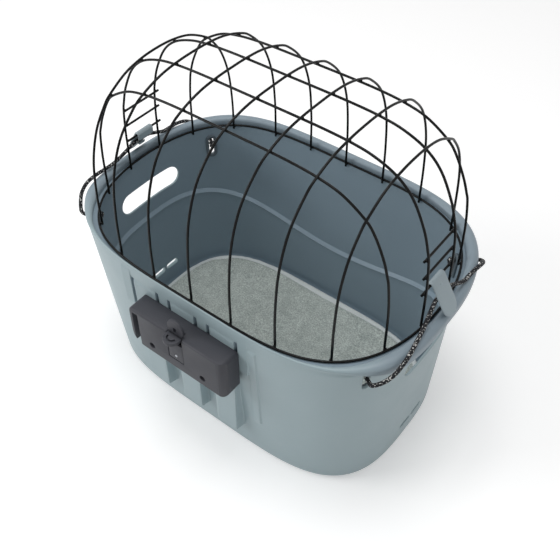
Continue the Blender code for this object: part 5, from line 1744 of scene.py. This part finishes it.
    def latch(self) -> tuple[Piece, Piece]:
        """The latch panel with its rails, and the steel pin in it."""
        front = -self.front + GAP
        level = self.panel_low + self.pin_rise
        half = self.panel_half - self.line / 3
        panel = solid("latch_plate", brick((-half, front, self.panel_low + self.line / 3),
                                           (half, front + self.panel_sheet, self.panel_high)),
                      Looks.MOUNT)
        rounded_edges(panel, 0.0004, 2, 40.0)
        for side in Side:
            inner, outer = sorted((side.value * half, side.value * (half - self.rail[0])))
            carve(panel, solid("rail", brick((inner, front + self.panel_sheet / 2,
                                              self.panel_low + self.line / 3),
                                             (outer, front + self.panel_sheet + self.rail[1],
                                              self.panel_high))), "UNION")
        hole = ((front - 0.003, 0.0031), (front, 0.0031), (front + 0.0006, 0.0023),
                (front + self.panel_sheet + 0.003, 0.0023))
        carve(panel, solid("pin_hole", turned(hole, 0.0, level)))
        settle(panel, 35.0)
        pin = ((front + self.panel_sheet + 0.0006, 0.0019), (front + 0.0004, 0.002),
               (front - 0.0001, 0.0018), (front - 0.00028, 0.0014), (front - 0.00028, 0.0008),
               (front + 0.0001, 0.0006), (front + 0.0001, 0.0002))
        return panel, solid("steel_pin", turned(pin, 0.0, level, 28), Looks.STEEL)

    def eye(self) -> Piece:
        """The upright disc with its padlock eye, on its foot."""
        face = -self.front + self.wall + GAP
        low = self.top + GAP
        centre = self.top + self.eye_rise
        dip = math.degrees(math.asin((low - centre) / self.disc_radius))
        outline = arc(self.disc_radius, dip, 180 - 2 * dip, 40, z=centre)
        tab = solid("padlock_eye", prism(outline, face, face + self.disc_sheet), Looks.MOUNT)
        rounded_edges(tab, 0.0009)
        reach = outline[0][0]
        carve(tab, solid("eye_foot", brick((-reach, face + self.disc_sheet / 2, low),
                                           (reach, face + 0.008, low + 0.002))), "UNION")
        hole = rounded([(-0.0038, -0.0024, 0.0008), (0.0038, -0.0024, 0.0008),
                        (0.0038, 0.0024, 0.0008), (-0.0038, 0.0024, 0.0008)], 4)
        hole = [(b, a + low + 0.0066) for a, b in hole]
        carve(tab, solid("eye_hole", prism(hole, face - OVERRUN,
                                           face + self.disc_sheet + OVERRUN)))
        return settle(tab, 35.0)

    def spring(self) -> None:
        """The return spring: a wound coil under the stem, pressed together by the button."""
        thick, wound, turns = 0.0009, 0.003, 5
        middle = self.stem_front + self.stem_deep / 2
        low = self.base + self.wall + GAP
        high = self.top + self.travel / 3 - self.plate - self.stem_long - GAP
        coil = []
        for i in range(turns * 20 + 1):
            angle = 2 * math.pi * i / 20
            rise = low + thick / 2 + (high - low - thick) * i / (turns * 20)
            coil.append(Vector((wound * math.cos(angle), middle + wound * math.sin(angle), rise)))
        piece = grown("return_spring", [coil], wire_tree(), {"Diameter": thick}, Looks.STEEL)
        keep(piece, "tub", Looks.STEEL, "button_spring")
        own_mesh(piece)

    def build(self) -> None:
        """Makes the box and its moving pieces."""
        keep(self.housing(), "tub", Looks.MOUNT, "mount_housing")
        keep(self.button(), "release_button", Looks.MOUNT, "release_button")
        panel, pin = self.latch()
        keep(panel, "latch", Looks.MOUNT, "latch_panel")
        keep(pin, "latch", Looks.STEEL, "latch_pin")
        keep(self.eye(), "tub", Looks.MOUNT, "lock_tab")
        self.spring()
        for node in ("screw_left", "screw_right", "washer_left", "washer_right", "nut_left",
                     "nut_right"):
            self.dress(node, Looks.STEEL)
        self.dress("spacer_left", Looks.MOUNT)

    @staticmethod
    def dress(node: str, finish: Finish) -> None:
        """Gives a CAD node its finish."""
        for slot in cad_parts[node].material_slots:
            slot.material = finish.material()


# ---------------------------------------------------------------- studio
@dataclass
class Studio:
    """Pale floor, white surround, soft lamps and the camera at the photograph's angle."""

    floor_colour: str = "#f4f4f4"
    ambient: float = 0.42
    paper_glow: float = 0.30
    lamp_size: float = 1.0
    # the camera: angles in degrees, aim and distance in half lengths of the ring, and the rest in
    # pixels of a square picture
    angles: tuple[float, float, float] = (38.2427, 43.3391, -0.4357)
    aim: tuple[float, float, float] = (0.0409, -0.0415, 0.0)
    distance: float = 4.3608
    focal: float = 813.218
    centre: tuple[float, float] = (276.6011, 232.8406)
    picture: int = 560
    sensor: float = 36.0
    # name, place and power of each lamp
    lamps = (("key_softbox", (-1.5, -1.45, 1.35), 19.0),
             ("top_softbox", (-0.1, 0.0, 2.3), 17.0),
             ("side_softbox", (1.8, -0.6, 0.9), 2.0))

    def camera(self) -> None:
        """Sets the camera that was solved from the photograph."""
        az, el, roll = (math.radians(a) for a in self.angles)
        back = Vector((math.sin(az) * math.cos(el), -math.cos(az) * math.cos(el), math.sin(el)))
        right = Vector((math.cos(az), math.sin(az), 0.0))
        up = back.cross(right)
        level = right * math.cos(roll) + up * math.sin(roll)
        upright = up * math.cos(roll) - right * math.sin(roll)
        place = (Vector(self.aim) + back * self.distance) * RING.half_length
        made = add_object("photo_camera", bpy.data.cameras.new("photo_camera"))
        facing = Matrix((level, upright, back)).transposed().to_4x4()
        made.matrix_world = Matrix.Translation(place + Vector((0, 0, RING_HEIGHT))) @ facing
        made.data.sensor_width = self.sensor
        made.data.lens = self.focal * self.sensor / self.picture
        made.data.shift_x = (self.picture / 2 - self.centre[0]) / self.picture
        made.data.shift_y = -(self.picture / 2 - self.centre[1]) / self.picture
        made.data.clip_end = 50.0
        bpy.context.scene.camera = made

    def lamp(self, name: str, place: Sequence[float], aim: Sequence[float],
             power: float) -> None:
        """Adds one soft square lamp."""
        data = bpy.data.lights.new(name, "AREA")
        data.shape, data.size, data.energy = "SQUARE", self.lamp_size, power
        made = add_object(name, data)
        made.location = place
        made.rotation_euler = (Vector(aim) - Vector(place)).to_track_quat("-Z", "Y").to_euler()

    def build(self) -> None:
        """Makes the surround, the floor and the lamps."""
        scene = bpy.context.scene
        scene.view_settings.view_transform = "Standard"
        world = bpy.data.worlds.new("white_room")
        scene.world = world
        tree = bare_tree(world)
        strength = add_node(tree, "ShaderNodeMapRange", {"To Min": self.ambient, "To Max": 1.0,
                                                         "Value": self.seen_ray(tree)})
        sky = add_node(tree, "ShaderNodeBackground", {"Color": (1.0, 1.0, 1.0, 1.0),
                                                      "Strength": strength.outputs[0]})
        add_node(tree, "ShaderNodeOutputWorld", {"Surface": sky.outputs[0]})
        shape = bmesh.new()
        bmesh.ops.create_grid(shape, x_segments=1, y_segments=1, size=6.0)
        floor = solid("floor", shape, recalculate=False)
        floor.data.materials.append(self.floor_paint())
        for name, place, power in self.lamps:
            self.lamp(name, place, (0.0, 0.0, 0.2), power)

    @staticmethod
    def seen_ray(tree: Tree) -> Socket:
        """1 for rays from the camera, reflections and clear pieces, else 0."""
        path = add_node(tree, "ShaderNodeLightPath")
        first = maths(tree, "MAXIMUM", path.outputs["Is Camera Ray"],
                      path.outputs["Is Glossy Ray"])
        return maths(tree, "MAXIMUM", first, path.outputs["Is Transmission Ray"])

    def floor_paint(self) -> bpy.types.Material:
        """Pale matt studio paper: plain where it is lit, with the object's shadow kept."""
        made = bpy.data.materials.new("studio_paper")
        tree = bare_tree(made)
        paper = add_node(tree, "ShaderNodeBsdfPrincipled",
                         {"Base Color": linear(self.floor_colour), "Roughness": 0.9,
                          "Emission Color": (1.0, 1.0, 1.0, 1.0),
                          "Emission Strength": maths(tree, "MULTIPLY", self.seen_ray(tree),
                                                     self.paper_glow)})
        add_node(tree, "ShaderNodeOutputMaterial", {"Surface": paper.outputs["BSDF"]})
        return made


def main() -> None:
    """Builds the basket from its frame."""
    logging.basicConfig(level=logging.INFO, format="%(name)s: %(message)s")
    studio = Studio()
    studio.camera()
    cage = Cage()
    closure = Closure(cage.bar_x(cage.bar_levels[0]), RING_HEIGHT + cage.bar_levels[0])
    closure.build_cords()
    Tub().build()
    cage.build()
    closure.build()
    Cushion().build()
    MountBox().build()
    studio.build()


if __name__ == "__main__":
    main()
